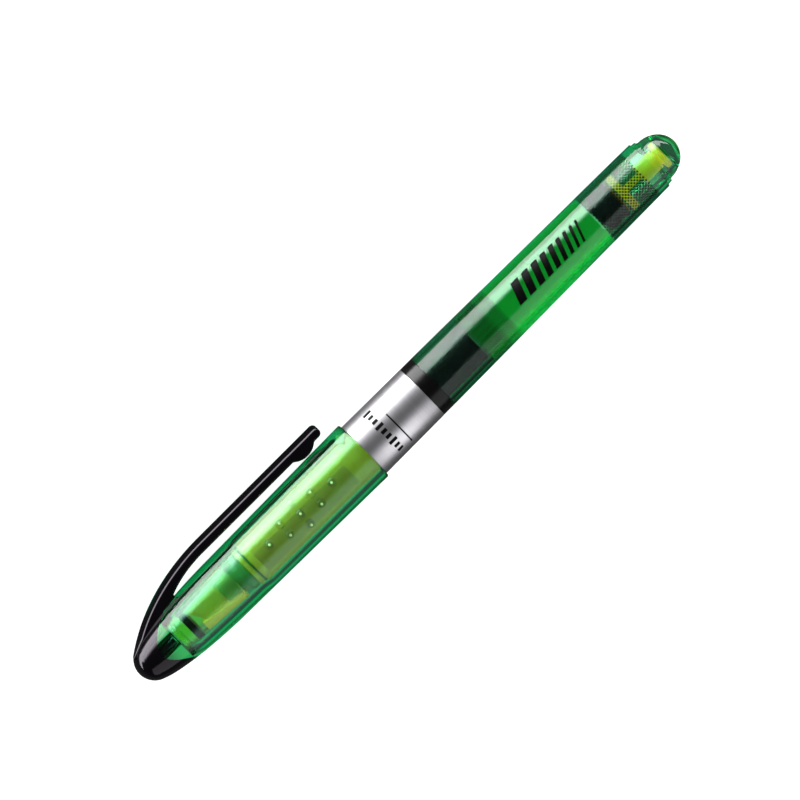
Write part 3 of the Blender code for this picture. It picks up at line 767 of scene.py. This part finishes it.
def cut_flat(bm, place, normal):
    cut = bmesh.ops.bisect_plane(
        bm,
        geom=bm.verts[:] + bm.edges[:] + bm.faces[:],
        plane_co=place,
        plane_no=normal,
        dist=1e-9,
        clear_outer=True,
    )
    rim = [e for e in cut["geom_cut"] if isinstance(e, bmesh.types.BMEdge)]
    bmesh.ops.contextual_create(bm, geom=rim)


def make_nib():
    """Chisel nib: a round fibre rod, ground flat on both sides and cut at a slant."""
    head_r = reach("chisel_nib", NIB_TIP, NIB_TIP + 6)
    shoulder = HOLDER_FRONT - 0.4
    stem_r = reach("chisel_nib", NIB_END, NIB_END)
    chamfer, slant, tip_half = 0.3, 2.2, 0.8
    edge_deg, worn_width = 25, 0.12
    outline = [
        (NIB_TIP, 0),
        (NIB_TIP, head_r - chamfer),
        (NIB_TIP + chamfer, head_r),
        (shoulder, head_r),
        (shoulder, stem_r),
        (NIB_END, stem_r),
        (NIB_END, 0),
    ]
    bm = spun(softened(outline, 0.15), INNER_STEPS)
    cut_flat(bm, point(NIB_TIP, head_r), Vector((2 * head_r, 0, -slant)).normalized())
    flat_length = shoulder - NIB_TIP
    for side in (1, -1):
        normal = Vector((head_r - tip_half, side * flat_length, 0)).normalized()
        cut_flat(bm, point(NIB_TIP, 0, side * tip_half), normal)
    nib = add_object("fibre_nib", bm, FIBRE, edge_deg)
    bevel = nib.modifiers.new("Worn edges", "BEVEL")
    bevel.width = worn_width * MM
    bevel.segments = 3
    bevel.limit_method = "ANGLE"
    bevel.angle_limit = math.radians(edge_deg)
    placed(nib, "pen", "nib_fibre", "chisel_nib")


def make_nose_cone():
    """Cone that holds the nib, with a rounded front rim and a neck inside the grip."""
    bore_r = 1.9
    front_r = reach("nib_holder", HOLDER_FRONT, HOLDER_FRONT)
    rear_r = reach("nib_holder")
    neck_r = reach("nib_holder", HOLDER_END, HOLDER_END)
    shoulder = GRIP_FRONT - 0.3
    curve = ((HOLDER_FRONT, front_r), (HOLDER_FRONT + 3, front_r + 0.35), (26, 3.3), (27.4, rear_r))
    neck = [(shoulder, rear_r), (shoulder, neck_r), (HOLDER_END, neck_r), (HOLDER_END, bore_r)]
    outline = [(HOLDER_FRONT, bore_r)] + bezier(curve, 14) + neck
    cone = turned("nose_cone", outline, HOLDER_GREEN, 0.15, ring=True)
    placed(cone, "pen", "clear_green_plastic", "nib_holder")


def make_o_ring():
    half = 0.2
    section = arc((SEAL_RING, reach("seal_ring") - half), half, 0, 345, 23)
    placed(add_object("o_ring", spun(section, ring=True), RUBBER), "pen", "seal_rubber", "seal_ring")


GRIP_R = 4.75
GRIP_RIBS = ((56.5, 0.35), (57.3, 0.3), (59.9, 0.4))  # where each click rib starts, and its width
RIB_RISE = 0.18
RIB_SLOPE = 0.08
GRIP_PIP = 58.7
GRIP_PIP_RISE = 0.38
GRIP_PIP_SUNK = 0.35
GRIP_PIP_TOP = 0.45  # its top's size as a share of its foot's
DOT_COLUMN_PITCH = 4.2
DOT_FIRST = 35.1
DOT_ROWS = (1, 2, 3, 2, 1)
DOT_ANGLE = math.radians(17.5)
DOT_R = 0.70
DOT_RISE = 0.30
DOT_BALL_R = (DOT_R ** 2 + DOT_RISE ** 2) / (2 * DOT_RISE)
# Size and rise of the painted highlight on each dome's tip
TIP_R = 0.26
TIP_RISE = 0.06
PANEL_START = 31.4
PANEL_END = 56.0
# where the grip's painted-light layer opens, in degrees round the pen from the camera's side towards the
# clip
OPENING_FIRST = -74
OPENING_LAST = 10


def grip_dots(ball, top):
    """Balls in a diamond on the grip's two sides square to the clip, their tops at a radius."""
    domes = bmesh.new()
    for side in (1, -1):
        for column, rows in enumerate(DOT_ROWS):
            for row in range(rows):
                angle = (row - (rows - 1) / 2) * 2 * DOT_ANGLE
                out = Vector((0, side * math.cos(angle), math.sin(angle)))
                dome = bmesh.ops.create_uvsphere(domes, u_segments=24, v_segments=16, radius=ball * MM)
                centre = point(DOT_FIRST + column * DOT_COLUMN_PITCH, 0) + out * (top - ball) * MM
                bmesh.ops.translate(domes, vec=centre, verts=dome["verts"])
    return domes


def make_painted_dot_highlights():
    """A painted highlight on each dome: a pale, glowing tip."""
    tips = add_object("painted_dot_highlights", grip_dots(TIP_R, GRIP_R + DOT_RISE + TIP_RISE), PAINTED_DOT_HIGHLIGHT)
    placed(tips, "pen", "lime_plastic")


def grip_pip(angle_deg):
    """A diamond-shaped pip between the click ribs, which snaps into the cap."""
    out = outward(math.radians(angle_deg))
    along = Vector((1, 0, 0))
    round_ = along.cross(out)
    loops = []
    for radius, size in ((GRIP_R + GRIP_PIP_RISE, GRIP_PIP_TOP), (GRIP_R - GRIP_PIP_SUNK, 1)):
        middle = point(GRIP_PIP, 0) + out * radius * MM
        rim = [(1.0, 0), (0, 1.35), (-1.0, 0), (0, -1.35)]
        loops.append([middle + along * a * size * MM + round_ * b * size * MM for a, b in rim])
    return lofted(loops)


def make_grip():
    """Lime sleeve: a grooved collar, a dotted grip, click ribs, pips, a flange and a neck in the barrel."""
    ring_r, groove_r, groove_half = 4.45, 4.0, 0.4
    flange_r, flange_end = reach("grip_section"), BAND_START + 0.6
    neck_r, bore_r, front_bore_r = 4.6, 4.0, 3.5
    panel_r, rib_r = GRIP_R - 0.08, GRIP_R + RIB_RISE
    outline = [
        (GRIP_FRONT, ring_r),
        (SEAL_RING - groove_half, ring_r),
        (SEAL_RING - groove_half, groove_r),
        (SEAL_RING + groove_half, groove_r),
        (SEAL_RING + groove_half, GRIP_R),
        (PANEL_START, GRIP_R),
        (PANEL_START + 0.15, panel_r),
        (PANEL_END - 0.1, panel_r),
        (PANEL_END + 0.05, GRIP_R),
    ]
    for start, width in GRIP_RIBS:
        end = start + width
        outline += [(start, GRIP_R), (start + RIB_SLOPE, rib_r), (end, rib_r), (end + RIB_SLOPE, GRIP_R)]
    outline += [
        (BAND_START, GRIP_R),
        (BAND_START, flange_r),
        (flange_end, flange_r),
        (flange_end, neck_r),
        (GRIP_END, neck_r),
        (GRIP_END, bore_r),
        (PANEL_START - 0.1, bore_r),
        (PANEL_START - 0.1, front_bore_r),
        (GRIP_FRONT, front_bore_r),
    ]
    grip = turned("grip_sleeve", outline, LIME_CLEAR, 0.08, ROUND_STEPS, ring=True)
    dots = grip_dots(DOT_BALL_R, GRIP_R + DOT_RISE)
    combined(grip, "UNION", add_object("grip_dot_guides", dots), JOINT_SHARP_DEG)
    for angle in (63, -117):
        combined(grip, "UNION", add_object("grip_pip_guide", grip_pip(angle)), JOINT_SHARP_DEG)
    placed(grip, "pen", "clear_lime_plastic", "grip_section")


def make_grip_painted_light_layer():
    """Second lime wall inside the sleeve, whole at both ends and open on the camera's side from just above
    the axis downwards: painted light, it lightens the sleeve where the clip-side light scatters in it and
    lets the dark collector show only in the opening.
    """
    outer_r, inner_r, lining_end = 3.97, 3.84, 61.0
    beyond_r, wedge_steps = 6, 16
    collar = tube(GRIP_FRONT + 0.1, PANEL_START - 0.15, 3.3, 3.47)
    lining = add_object("grip_painted_light_layer", spun(collar, ring=True), LIME_CLEAR)
    behind = tube(PANEL_END, lining_end, inner_r, outer_r)
    combined(lining, "UNION", add_object("rib_lining", spun(behind, ring=True)))
    wall = add_object("panel_lining", spun(tube(PANEL_START, PANEL_END, inner_r, outer_r), ring=True))
    angles = [lerp(OPENING_FIRST, OPENING_LAST, i / wedge_steps) for i in range(wedge_steps + 1)]
    turns = [math.radians(angle) for angle in angles]
    wedges = []
    for s in (PANEL_END - 0.02, PANEL_START - 1):
        rim = [point(s, math.sin(turn) * beyond_r, math.cos(turn) * beyond_r) for turn in turns]
        wedges.append([point(s, 0)] + rim)
    combined(wall, "DIFFERENCE", add_object("lining_opening", lofted(wedges)))
    combined(lining, "UNION", wall)
    placed(lining, "pen", "clear_lime_plastic")


def make_collector():
    """Finned ink regulator: thin fins with narrow slots, finer in the grip and wider in the tank."""
    core_r, bore_r = 3.3, 1.35
    fin_width = 0.7  # as a share of the fins' pitch
    step = GRIP_END + 0.4
    front_r = reach("ink_collector", COLLECTOR_FRONT, step - 1)
    rear_r = reach("ink_collector")
    in_grip, in_tank = (COLLECTOR_FRONT, step - 2, 24, front_r), (step, COLLECTOR_END, 14, rear_r)
    fins = []
    for start, end, count, radius in (in_grip, in_tank):
        pitch = (end - start) / (count - 1 + fin_width)
        for fin in range(count):
            near = start + fin * pitch
            fins += tube(near, near + fin_width * pitch, core_r, radius)
    front, skirt_front = COLLECTOR_FRONT + 0.3, PANEL_START + 0.05
    skirt = [(front, bore_r), (front, core_r), (skirt_front, core_r), (skirt_front, front_r)]
    outline = skirt + fins[2:-1] + [(COLLECTOR_END, bore_r)]
    collector = add_object("ink_regulator", spun(outline, 72, ring=True), BLACK_SATIN)
    placed(collector, "pen", "black_satin_plastic", "ink_collector")


# ---------- barrel

BARREL_FRONT_BORE_R = 4.95
BARREL_REAR_BORE_R = 4.35
FRONT_PITCH = 0.42
REAR_PITCH = 0.56
FRONT_HATCH_END = 98.5
REAR_HATCH_END = 135.75
HATCH_LIFT = 0.004
DENSE_END = 95.5
DENSE_FILL = 0.66
OPEN_FILL = 0.50
REAR_FILL = 0.68
DIAMOND_THICKNESS = 0.015


def barrel_radius(station):
    return lerp(BARREL_START_R, BARREL_END_R, (station - BARREL_START) / (BARREL_END - BARREL_START))


def barrel_bore(station):
    share = (station - BARREL_NECK) / (BARREL_END - BARREL_NECK)
    return lerp(BARREL_FRONT_BORE_R, BARREL_REAR_BORE_R, share)


def make_barrel():
    """Clear tank: a neck under the sleeves, a shoulder behind the black ring and a gentle taper."""
    neck_r = reach("barrel", BARREL_NECK, BARREL_NECK)
    outline = [
        (BARREL_NECK, neck_r),
        (BARREL_START, neck_r),
        (BARREL_START, BARREL_START_R),
        (BARREL_END, BARREL_END_R),
        (BARREL_END, barrel_bore(BARREL_END)),
        (BARREL_NECK, barrel_bore(BARREL_NECK)),
    ]
    barrel = turned("tank_barrel", outline, BARREL_GREEN, 0.08, ROUND_STEPS, ring=True)
    placed(barrel, "pen", "clear_green_plastic", "barrel")


def make_lattice(name, start, end, pitch, fill_at):
    """Crosshatch on the barrel: rows of fine diamonds whose gaps read as lines at 45 degrees."""
    bm = bmesh.new()
    half_cell = pitch / math.sqrt(2)
    count = round(math.tau * barrel_radius((start + end) / 2) / (2 * half_cell))
    rows = int((end - start) / half_cell)
    for row in range(rows):
        station = start + (row + 0.5) * half_cell
        for column in range(count):
            angle = math.tau * (column + 0.5 * (row % 2)) / count
            diamond(bm, station, angle, half_cell * fill_at(station), HATCH_LIFT, barrel_radius)
    placed(add_object(name, bm, LATTICE), "pen", "clear_green_plastic")


def front_fill(station):
    """The front hatch is dense over the collector and opens up towards the clear part of the tank."""
    return DENSE_FILL if station < DENSE_END else OPEN_FILL


def make_sleeves():
    """Satin metal band with rolled edges, the black ring behind it and a plain row of ticks on the band."""
    start, end = CAP_MOUTH + 0.03, RING_START - 0.15
    band_r0, band_r1 = (reach("metal_band", s, s) for s in (BAND_START, BAND_END))
    bore_r, edge = 5.75, 0.10
    band = tube(start, end, bore_r, band_r0, band_r1)
    ring = tube(end + FINE, BARREL_START - FINE, bore_r, reach("trim_ring"))
    metal = turned("satin_band", band, SILVER, edge, ROUND_STEPS, ring=True)
    placed(metal, "pen", "silver_metal", "metal_band")
    black = turned("black_ring", ring, BLACK_SATIN, edge, ROUND_STEPS, ring=True)
    placed(black, "pen", "black_satin_plastic", "trim_ring")

    def band_radius(station):
        return lerp(band_r0, band_r1, (station - start) / (end - start))

    bm = bmesh.new()
    step_deg, lift, thickness = 1.5, 0.003, 0.012
    ticks = [(66.0, 1.9 if i % 3 == 0 else 1.3, 50 - 12 * i, 6.5) for i in range(9)]
    long_line = (68.6, 0.3, 18, 76)
    for station, width, first_deg, sweep_deg in ticks + [long_line]:
        steps = max(round(sweep_deg / step_deg), 3)
        angles = [math.radians(first_deg - sweep_deg * i / steps) for i in range(steps + 1)]
        wrap(bm, [(station, angle) for angle in angles], width, lift, thickness, band_radius)
    placed(add_object("band_ticks", bm, PRINT), "pen", "black_satin_plastic")
    return metal


def make_barrel_mark():
    """Generic decoration in place of a name: slanted bars that get thinner towards the tail."""
    bm = bmesh.new()
    station, bars = 102.4, 9
    slant, gap, widest, thinning = 1.6, 0.75, 1.9, 0.17
    first_deg, last_deg = -16, 28
    steps, lift, thickness = 12, 0.004, 0.02
    for bar in range(bars):
        width = widest - thinning * bar
        shares = [step / steps for step in range(steps + 1)]
        turns = [math.radians(lerp(first_deg, last_deg, share)) for share in shares]
        path = [(station + slant * share, turn) for share, turn in zip(shares, turns)]
        wrap(bm, path, width, lift, thickness, barrel_radius)
        station += width + gap
    placed(add_object("barrel_mark", bm, PRINT), "pen", "black_satin_plastic")


def make_ink():
    """The ink wets the tank's wall, so its skin lies just inside the plastic."""
    wet = 0.02
    outline = tube(INK_START, INK_END, 0, barrel_bore(INK_START) + wet, barrel_bore(INK_END) + wet)
    placed(add_object("ink_column", spun(outline), INK), "pen", "green_ink", "ink_fill")


def make_stopper():
    """Black stopper with a rounded nose, a sealing groove and a rounded rear end."""
    radius = reach("rear_stopper")
    nose_length, groove_half = 1.6, 0.6
    groove_r = radius - 0.4
    middle = (STOPPER_START + STOPPER_END + nose_length) / 2
    turns = [math.radians(90 * i / 14) for i in range(15)]
    nose = [(STOPPER_START + nose_length * (1 - math.cos(a)), radius * math.sin(a)) for a in turns]
    rest = [
        (middle - groove_half, radius),
        (middle - groove_half, groove_r),
        (middle + groove_half, groove_r),
        (middle + groove_half, radius),
        (STOPPER_END - 0.7, radius),
        (STOPPER_END - 0.35, radius * 0.85),
        (STOPPER_END - 0.1, radius * 0.55),
        (STOPPER_END, radius * 0.25),
        (STOPPER_END, 0),
    ]
    bm = spun(nose[:-1] + softened([nose[-1]] + rest, 0.12), INNER_STEPS)
    placed(add_object("tank_stopper", bm, BLACK_SATIN), "pen", "black_satin_plastic", "rear_stopper")


def make_core():
    """Lime core: a flange against the stopper, a neck, a stem and a thin disc in the dome."""
    flange_r, neck_r, stem_r, waist_r, disc_r = reach("rear_core"), 0.7, 2.1, 1.5, 2.95
    flange_end, neck_end = CORE_START + 1.4, 135.5
    disc_start = CORE_END - 0.75
    stem_end = disc_start - 0.45
    outline = [
        (CORE_START, 0),
        (CORE_START, flange_r),
        (flange_end, flange_r),
        (flange_end, neck_r),
        (neck_end, neck_r),
        (neck_end, stem_r),
        (stem_end, stem_r),
        (stem_end, waist_r),
        (disc_start, waist_r),
        (disc_start, disc_r),
        (CORE_END, disc_r),
        (CORE_END, 0),
    ]
    # Its lime plastic carries a strong painted glow.
    placed(turned("rear_core_body", outline, LIME_SOLID, 0.12), "pen", "lime_plastic", "rear_core")


def make_dome():
    """Clear end plug: a skirt in the barrel, a stepped flange on its end and a hollow dome."""
    skirt_r, skirt_bore_r = reach("end_plug", PLUG_START, PLUG_START), 3.2
    flange_start, flange_r = BARREL_END + FINE, reach("end_plug")
    dome_start, dome_r, dome_steps = BARREL_END + 1.4, 4.66, 28
    hollow_start, hollow_end, hollow_r = CORE_END + 0.35, CORE_END + 1.9, 3.3
    length = PEN_LENGTH - dome_start
    turns = [math.radians(90 * step / dome_steps) for step in range(dome_steps)]
    dome = [(dome_start + length * math.sin(a), dome_r * math.cos(a)) for a in turns] + [(PEN_LENGTH, 0)]
    inside = [
        (hollow_end, 0),
        (hollow_start, hollow_r),
        (PLUG_START, skirt_bore_r),
        (PLUG_START, skirt_r),
        (flange_start, skirt_r),
        (flange_start, flange_r),
        (flange_start + 1.0, flange_r - 0.06),
        (flange_start + 1.05, dome_r + 0.16),
    ]
    plug = add_object("dome_plug", spun(softened(inside + [dome[0]], 0.1) + dome[1:]), CLEAR_GREEN)
    placed(plug, "pen", "clear_green_plastic", "end_plug")


# ---------- studio

PEN_MIDDLE = PEN @ point(PEN_LENGTH / 2, 0)
CAMERA_DISTANCE = 2.0
LENS = 469.0
ROLL = math.radians(44.95)
TILT = math.radians(1.5)
VIEW_LEFT = 1.35 * MM  # from the pen's middle to the picture's
VIEW_UP = 1.39 * MM
KEY = 7.5
FILL = 0.7
BAND_LIGHT = 3.4
BOX_LENGTH = 1.3
CLIP_SIDE_BOX = (48.5, 0.45, 0.215)  # each box's angle round the pen, its distance and its width
FAR_SIDE_BOX = (-66, 0.5, 0.52)
BAND_BOX = (-64, 0.06, 0.058)
BAND_BOX_LENGTH = 0.016
ROOM = 0.06
CARD_GAP = 0.016
CARD_WIDTH = 0.40
CARD_HEIGHT = 0.4 * MM
FLOOR_SIZE = 30
FLOOR_BOUNCE = 0.20
# Painted light on the floor, seen by every ray but the camera's, where light through the pen's clear
# plastic would fall: a green tint, a bright streak and two rims.
GLOW = (0.03, 0.42, 0.17)
STREAK = (0.42, 0.90, 0.50)
STREAK_STRENGTH = 0.42
RIM_LIGHT = (0.05, 0.85, 0.38)
RIM_STRENGTH = 0.30
CLEAR_START = 10.0  # the floor's painted green light lies between these two stations
CLEAR_END = 138.0
CLEAR_FADE = 4
BAND_FADE = 3
# Each strip of painted light on the floor: its middle from the axis, half its width at full strength and
# half its width where it ends.
GLOW_STRIP = (11, 17, 23)
STREAK_STRIP = (4.5, 1.0, 5)
RIM_STRIPS = ((-5, 2.5, 6), (19, 3, 8))


def make_camera():
    """Far away and long, square to the clip's plane, with the pen rising from lower left to upper right."""
    tail = TO_TAIL * math.cos(TILT) + TO_SIDE * math.sin(TILT)
    back = TO_SIDE * math.cos(TILT) - TO_TAIL * math.sin(TILT)
    right = tail * math.cos(ROLL) - TO_CLIP * math.sin(ROLL)
    up = tail * math.sin(ROLL) + TO_CLIP * math.cos(ROLL)
    target = PEN_MIDDLE - right * VIEW_LEFT + up * VIEW_UP
    data = bpy.data.cameras.new("camera")
    data.lens = LENS
    data.sensor_width = 36
    data.clip_start = 0.1
    data.clip_end = 50
    camera = bpy.data.objects.new("camera", data)
    bpy.context.scene.collection.objects.link(camera)
    camera.matrix_world = set_at(target + back * CAMERA_DISTANCE, right, up, back)
    bpy.context.scene.camera = camera


def softbox(name, place, back, width, radiance, length=BOX_LENGTH):
    """A rectangular light, its long side along the pen, that shines away from back."""
    data = bpy.data.lights.new(name, "AREA")
    data.shape = "RECTANGLE"
    data.size = length
    data.size_y = width
    data.energy = radiance * math.pi * width * length
    light = bpy.data.objects.new(name, data)
    z = back.normalized()
    x = (TO_TAIL - z * TO_TAIL.dot(z)).normalized()
    light.matrix_world = set_at(place, x, z.cross(x), z)
    light.visible_camera = False
    bpy.context.scene.collection.objects.link(light)
    return light


def side_softbox(name, middle, degrees, distance, width, radiance, length=BOX_LENGTH):
    """A softbox at an angle round the pen, turned from the camera's side towards the clip's."""
    turn = math.radians(degrees)
    back = TO_SIDE * math.cos(turn) + TO_CLIP * math.sin(turn)
    return softbox(name, middle + back * distance, back, width, radiance, length)


def fade(light):
    """Makes a softbox weaken towards its edge on the camera's side."""
    full_from = 0.80
    light.data.use_nodes = True
    tree = light.data.node_tree
    where = add_node(tree, "NewGeometry").outputs["Parametric"]
    across = add_node(tree, "SeparateXYZ", {"Vector": where}).outputs["Y"]
    ramp = ranged(tree, across, 0.0, full_from, 0.0, 1.0, "SMOOTHSTEP")
    tree.links.new(ramp, tree.nodes["Emission"].inputs["Strength"])


def make_lights(band):
    """Softboxes on both sides of the pen, a lit card on the floor, one for the band and a dim room."""
    fade(side_softbox("clip_side_softbox", PEN_MIDDLE, *CLIP_SIDE_BOX, KEY))
    card_middle = Vector((PEN_MIDDLE.x, -CARD_GAP - CARD_WIDTH / 2, CARD_HEIGHT))
    softbox("floor_card", card_middle, Vector((0, 0, -1)), CARD_WIDTH, KEY)
    side_softbox("far_side_softbox", PEN_MIDDLE, *FAR_SIDE_BOX, FILL)
    band_middle = PEN @ point((BAND_START + BAND_END) / 2, 0)
    card = side_softbox("band_card", band_middle, *BAND_BOX, BAND_LIGHT, BAND_BOX_LENGTH)
    served = bpy.data.collections.new("lit_by_band_card")
    served.objects.link(band)
    card.light_linking.receiver_collection = served
    world = bpy.data.worlds.new("studio")
    world.use_nodes = True
    backdrop = world.node_tree.nodes["Background"]
    backdrop.inputs["Color"].default_value = (0.9, 0.95, 1.0, 1)
    backdrop.inputs["Strength"].default_value = ROOM
    bpy.context.scene.world = world


def make_floor():
    """Plain white floor, with painted light where light through the pen's clear plastic would fall on it.

    The camera sees it white. All other rays see a dull floor with a painted green tint, a painted bright
    streak and two painted rim strips.
    """
    bpy.ops.mesh.primitive_plane_add(size=FLOOR_SIZE, location=(0, 0, 0))
    floor = bpy.context.object
    floor.name = "floor"
    finish = Finish(
        "white_floor",
        colour=((0.86, 0.86, 0.86), (0.88, 0.88, 0.88), 3),
        Roughness=0.9,
        Specular_IOR_Level=0.0,
    ).glowing((1, 1, 1), 1.0)
    tree = finish.tree
    parts = add_node(tree, "SeparateXYZ", {"Vector": finish.place}).outputs

    def combine(operation, first, second):
        return add_node(tree, "Math", {0: first, 1: second}, operation=operation, use_clamp=True).outputs[0]

    def falloff(value, middle, full, none):
        """One within full of the middle, nothing beyond none."""
        offset = add_node(tree, "Math", {0: value, 1: middle}, operation="SUBTRACT").outputs[0]
        away = add_node(tree, "Math", {0: offset}, operation="ABSOLUTE").outputs[0]
        return ranged(tree, away, full, none, 1.0, 0.0, "SMOOTHSTEP")

    def stretch(start, end, fading):
        """Masks a stretch of the pen, in stations."""
        middle = (PEN @ point((start + end) / 2, 0)).x
        half = (end - start) / 2 * MM
        return falloff(parts["X"], middle, half, half + fading * MM)

    def strip(middle, full, none):
        """Masks a strip along the pen, its middle given from the axis."""
        return falloff(parts["Y"], AXIS.y + middle * MM, full * MM, none * MM)

    by_band = stretch(BAND_START, RING_END, BAND_FADE)
    clear = combine("SUBTRACT", stretch(CLEAR_START, CLEAR_END, CLEAR_FADE), by_band)
    rims = combine("MULTIPLY", combine("ADD", *(strip(*rim) for rim in RIM_STRIPS)), clear)
    glow = combine("MULTIPLY", strip(*GLOW_STRIP), clear)
    streak = combine("MULTIPLY", strip(*STREAK_STRIP), clear)
    # The painted light: a green tint in the dull floor's colour, and a streak and rims that glow.
    dull = (FLOOR_BOUNCE, FLOOR_BOUNCE, FLOOR_BOUNCE, 1)
    tint = add_node(tree, "Mix", {"A": dull, "B": (*GLOW, 1), "Factor": glow}, data_type="RGBA")
    bounce = add_node(tree, "BsdfDiffuse", {"Color": tint.outputs["Result"]}).outputs[0]
    for mask, colour, strength in ((streak, STREAK, STREAK_STRENGTH), (rims, RIM_LIGHT, RIM_STRENGTH)):
        scaled = add_node(tree, "Math", {0: mask, 1: strength}, operation="MULTIPLY").outputs[0]
        bright = add_node(tree, "Emission", {"Color": (*colour, 1), "Strength": scaled}).outputs[0]
        bounce = add_node(tree, "AddShader", {0: bounce, 1: bright}).outputs[0]
    by_camera = add_node(tree, "LightPath").outputs["Is Camera Ray"]
    mix = add_node(tree, "MixShader", {0: by_camera, 1: bounce, 2: finish.shader.outputs["BSDF"]})
    tree.links.new(mix.outputs["Shader"], finish.output.inputs["Surface"])
    finish.material.cycles.emission_sampling = "NONE"
    floor.data.materials.append(finish.material)


def set_view():
    scene = bpy.context.scene
    scene.view_settings.view_transform = "Standard"
    scene.cycles.max_bounces = 28
    scene.cycles.transmission_bounces = 24
    scene.cycles.glossy_bounces = 10
    scene.cycles.diffuse_bounces = 4


make_camera()
make_cap_body()
make_clip_moulding()
make_seal_cup()
make_seal_pad()
make_painted_cup_glint()
make_cap_pips()
make_nib()
make_nose_cone()
make_o_ring()
make_grip()
make_painted_dot_highlights()
make_grip_painted_light_layer()
make_collector()
wick_materials = frame["nodes"]["feed_wick"].data.materials
wick_materials.clear()
wick_materials.append(FIBRE.material)
make_barrel()
make_lattice("front_lattice", BARREL_START + 0.1, FRONT_HATCH_END, FRONT_PITCH, front_fill)
make_lattice("rear_lattice", INK_END + 0.2, REAR_HATCH_END, REAR_PITCH, lambda station: REAR_FILL)
metal_band = make_sleeves()
make_barrel_mark()
make_ink()
make_stopper()
make_core()
make_dome()
make_lights(metal_band)
make_floor()
set_view()
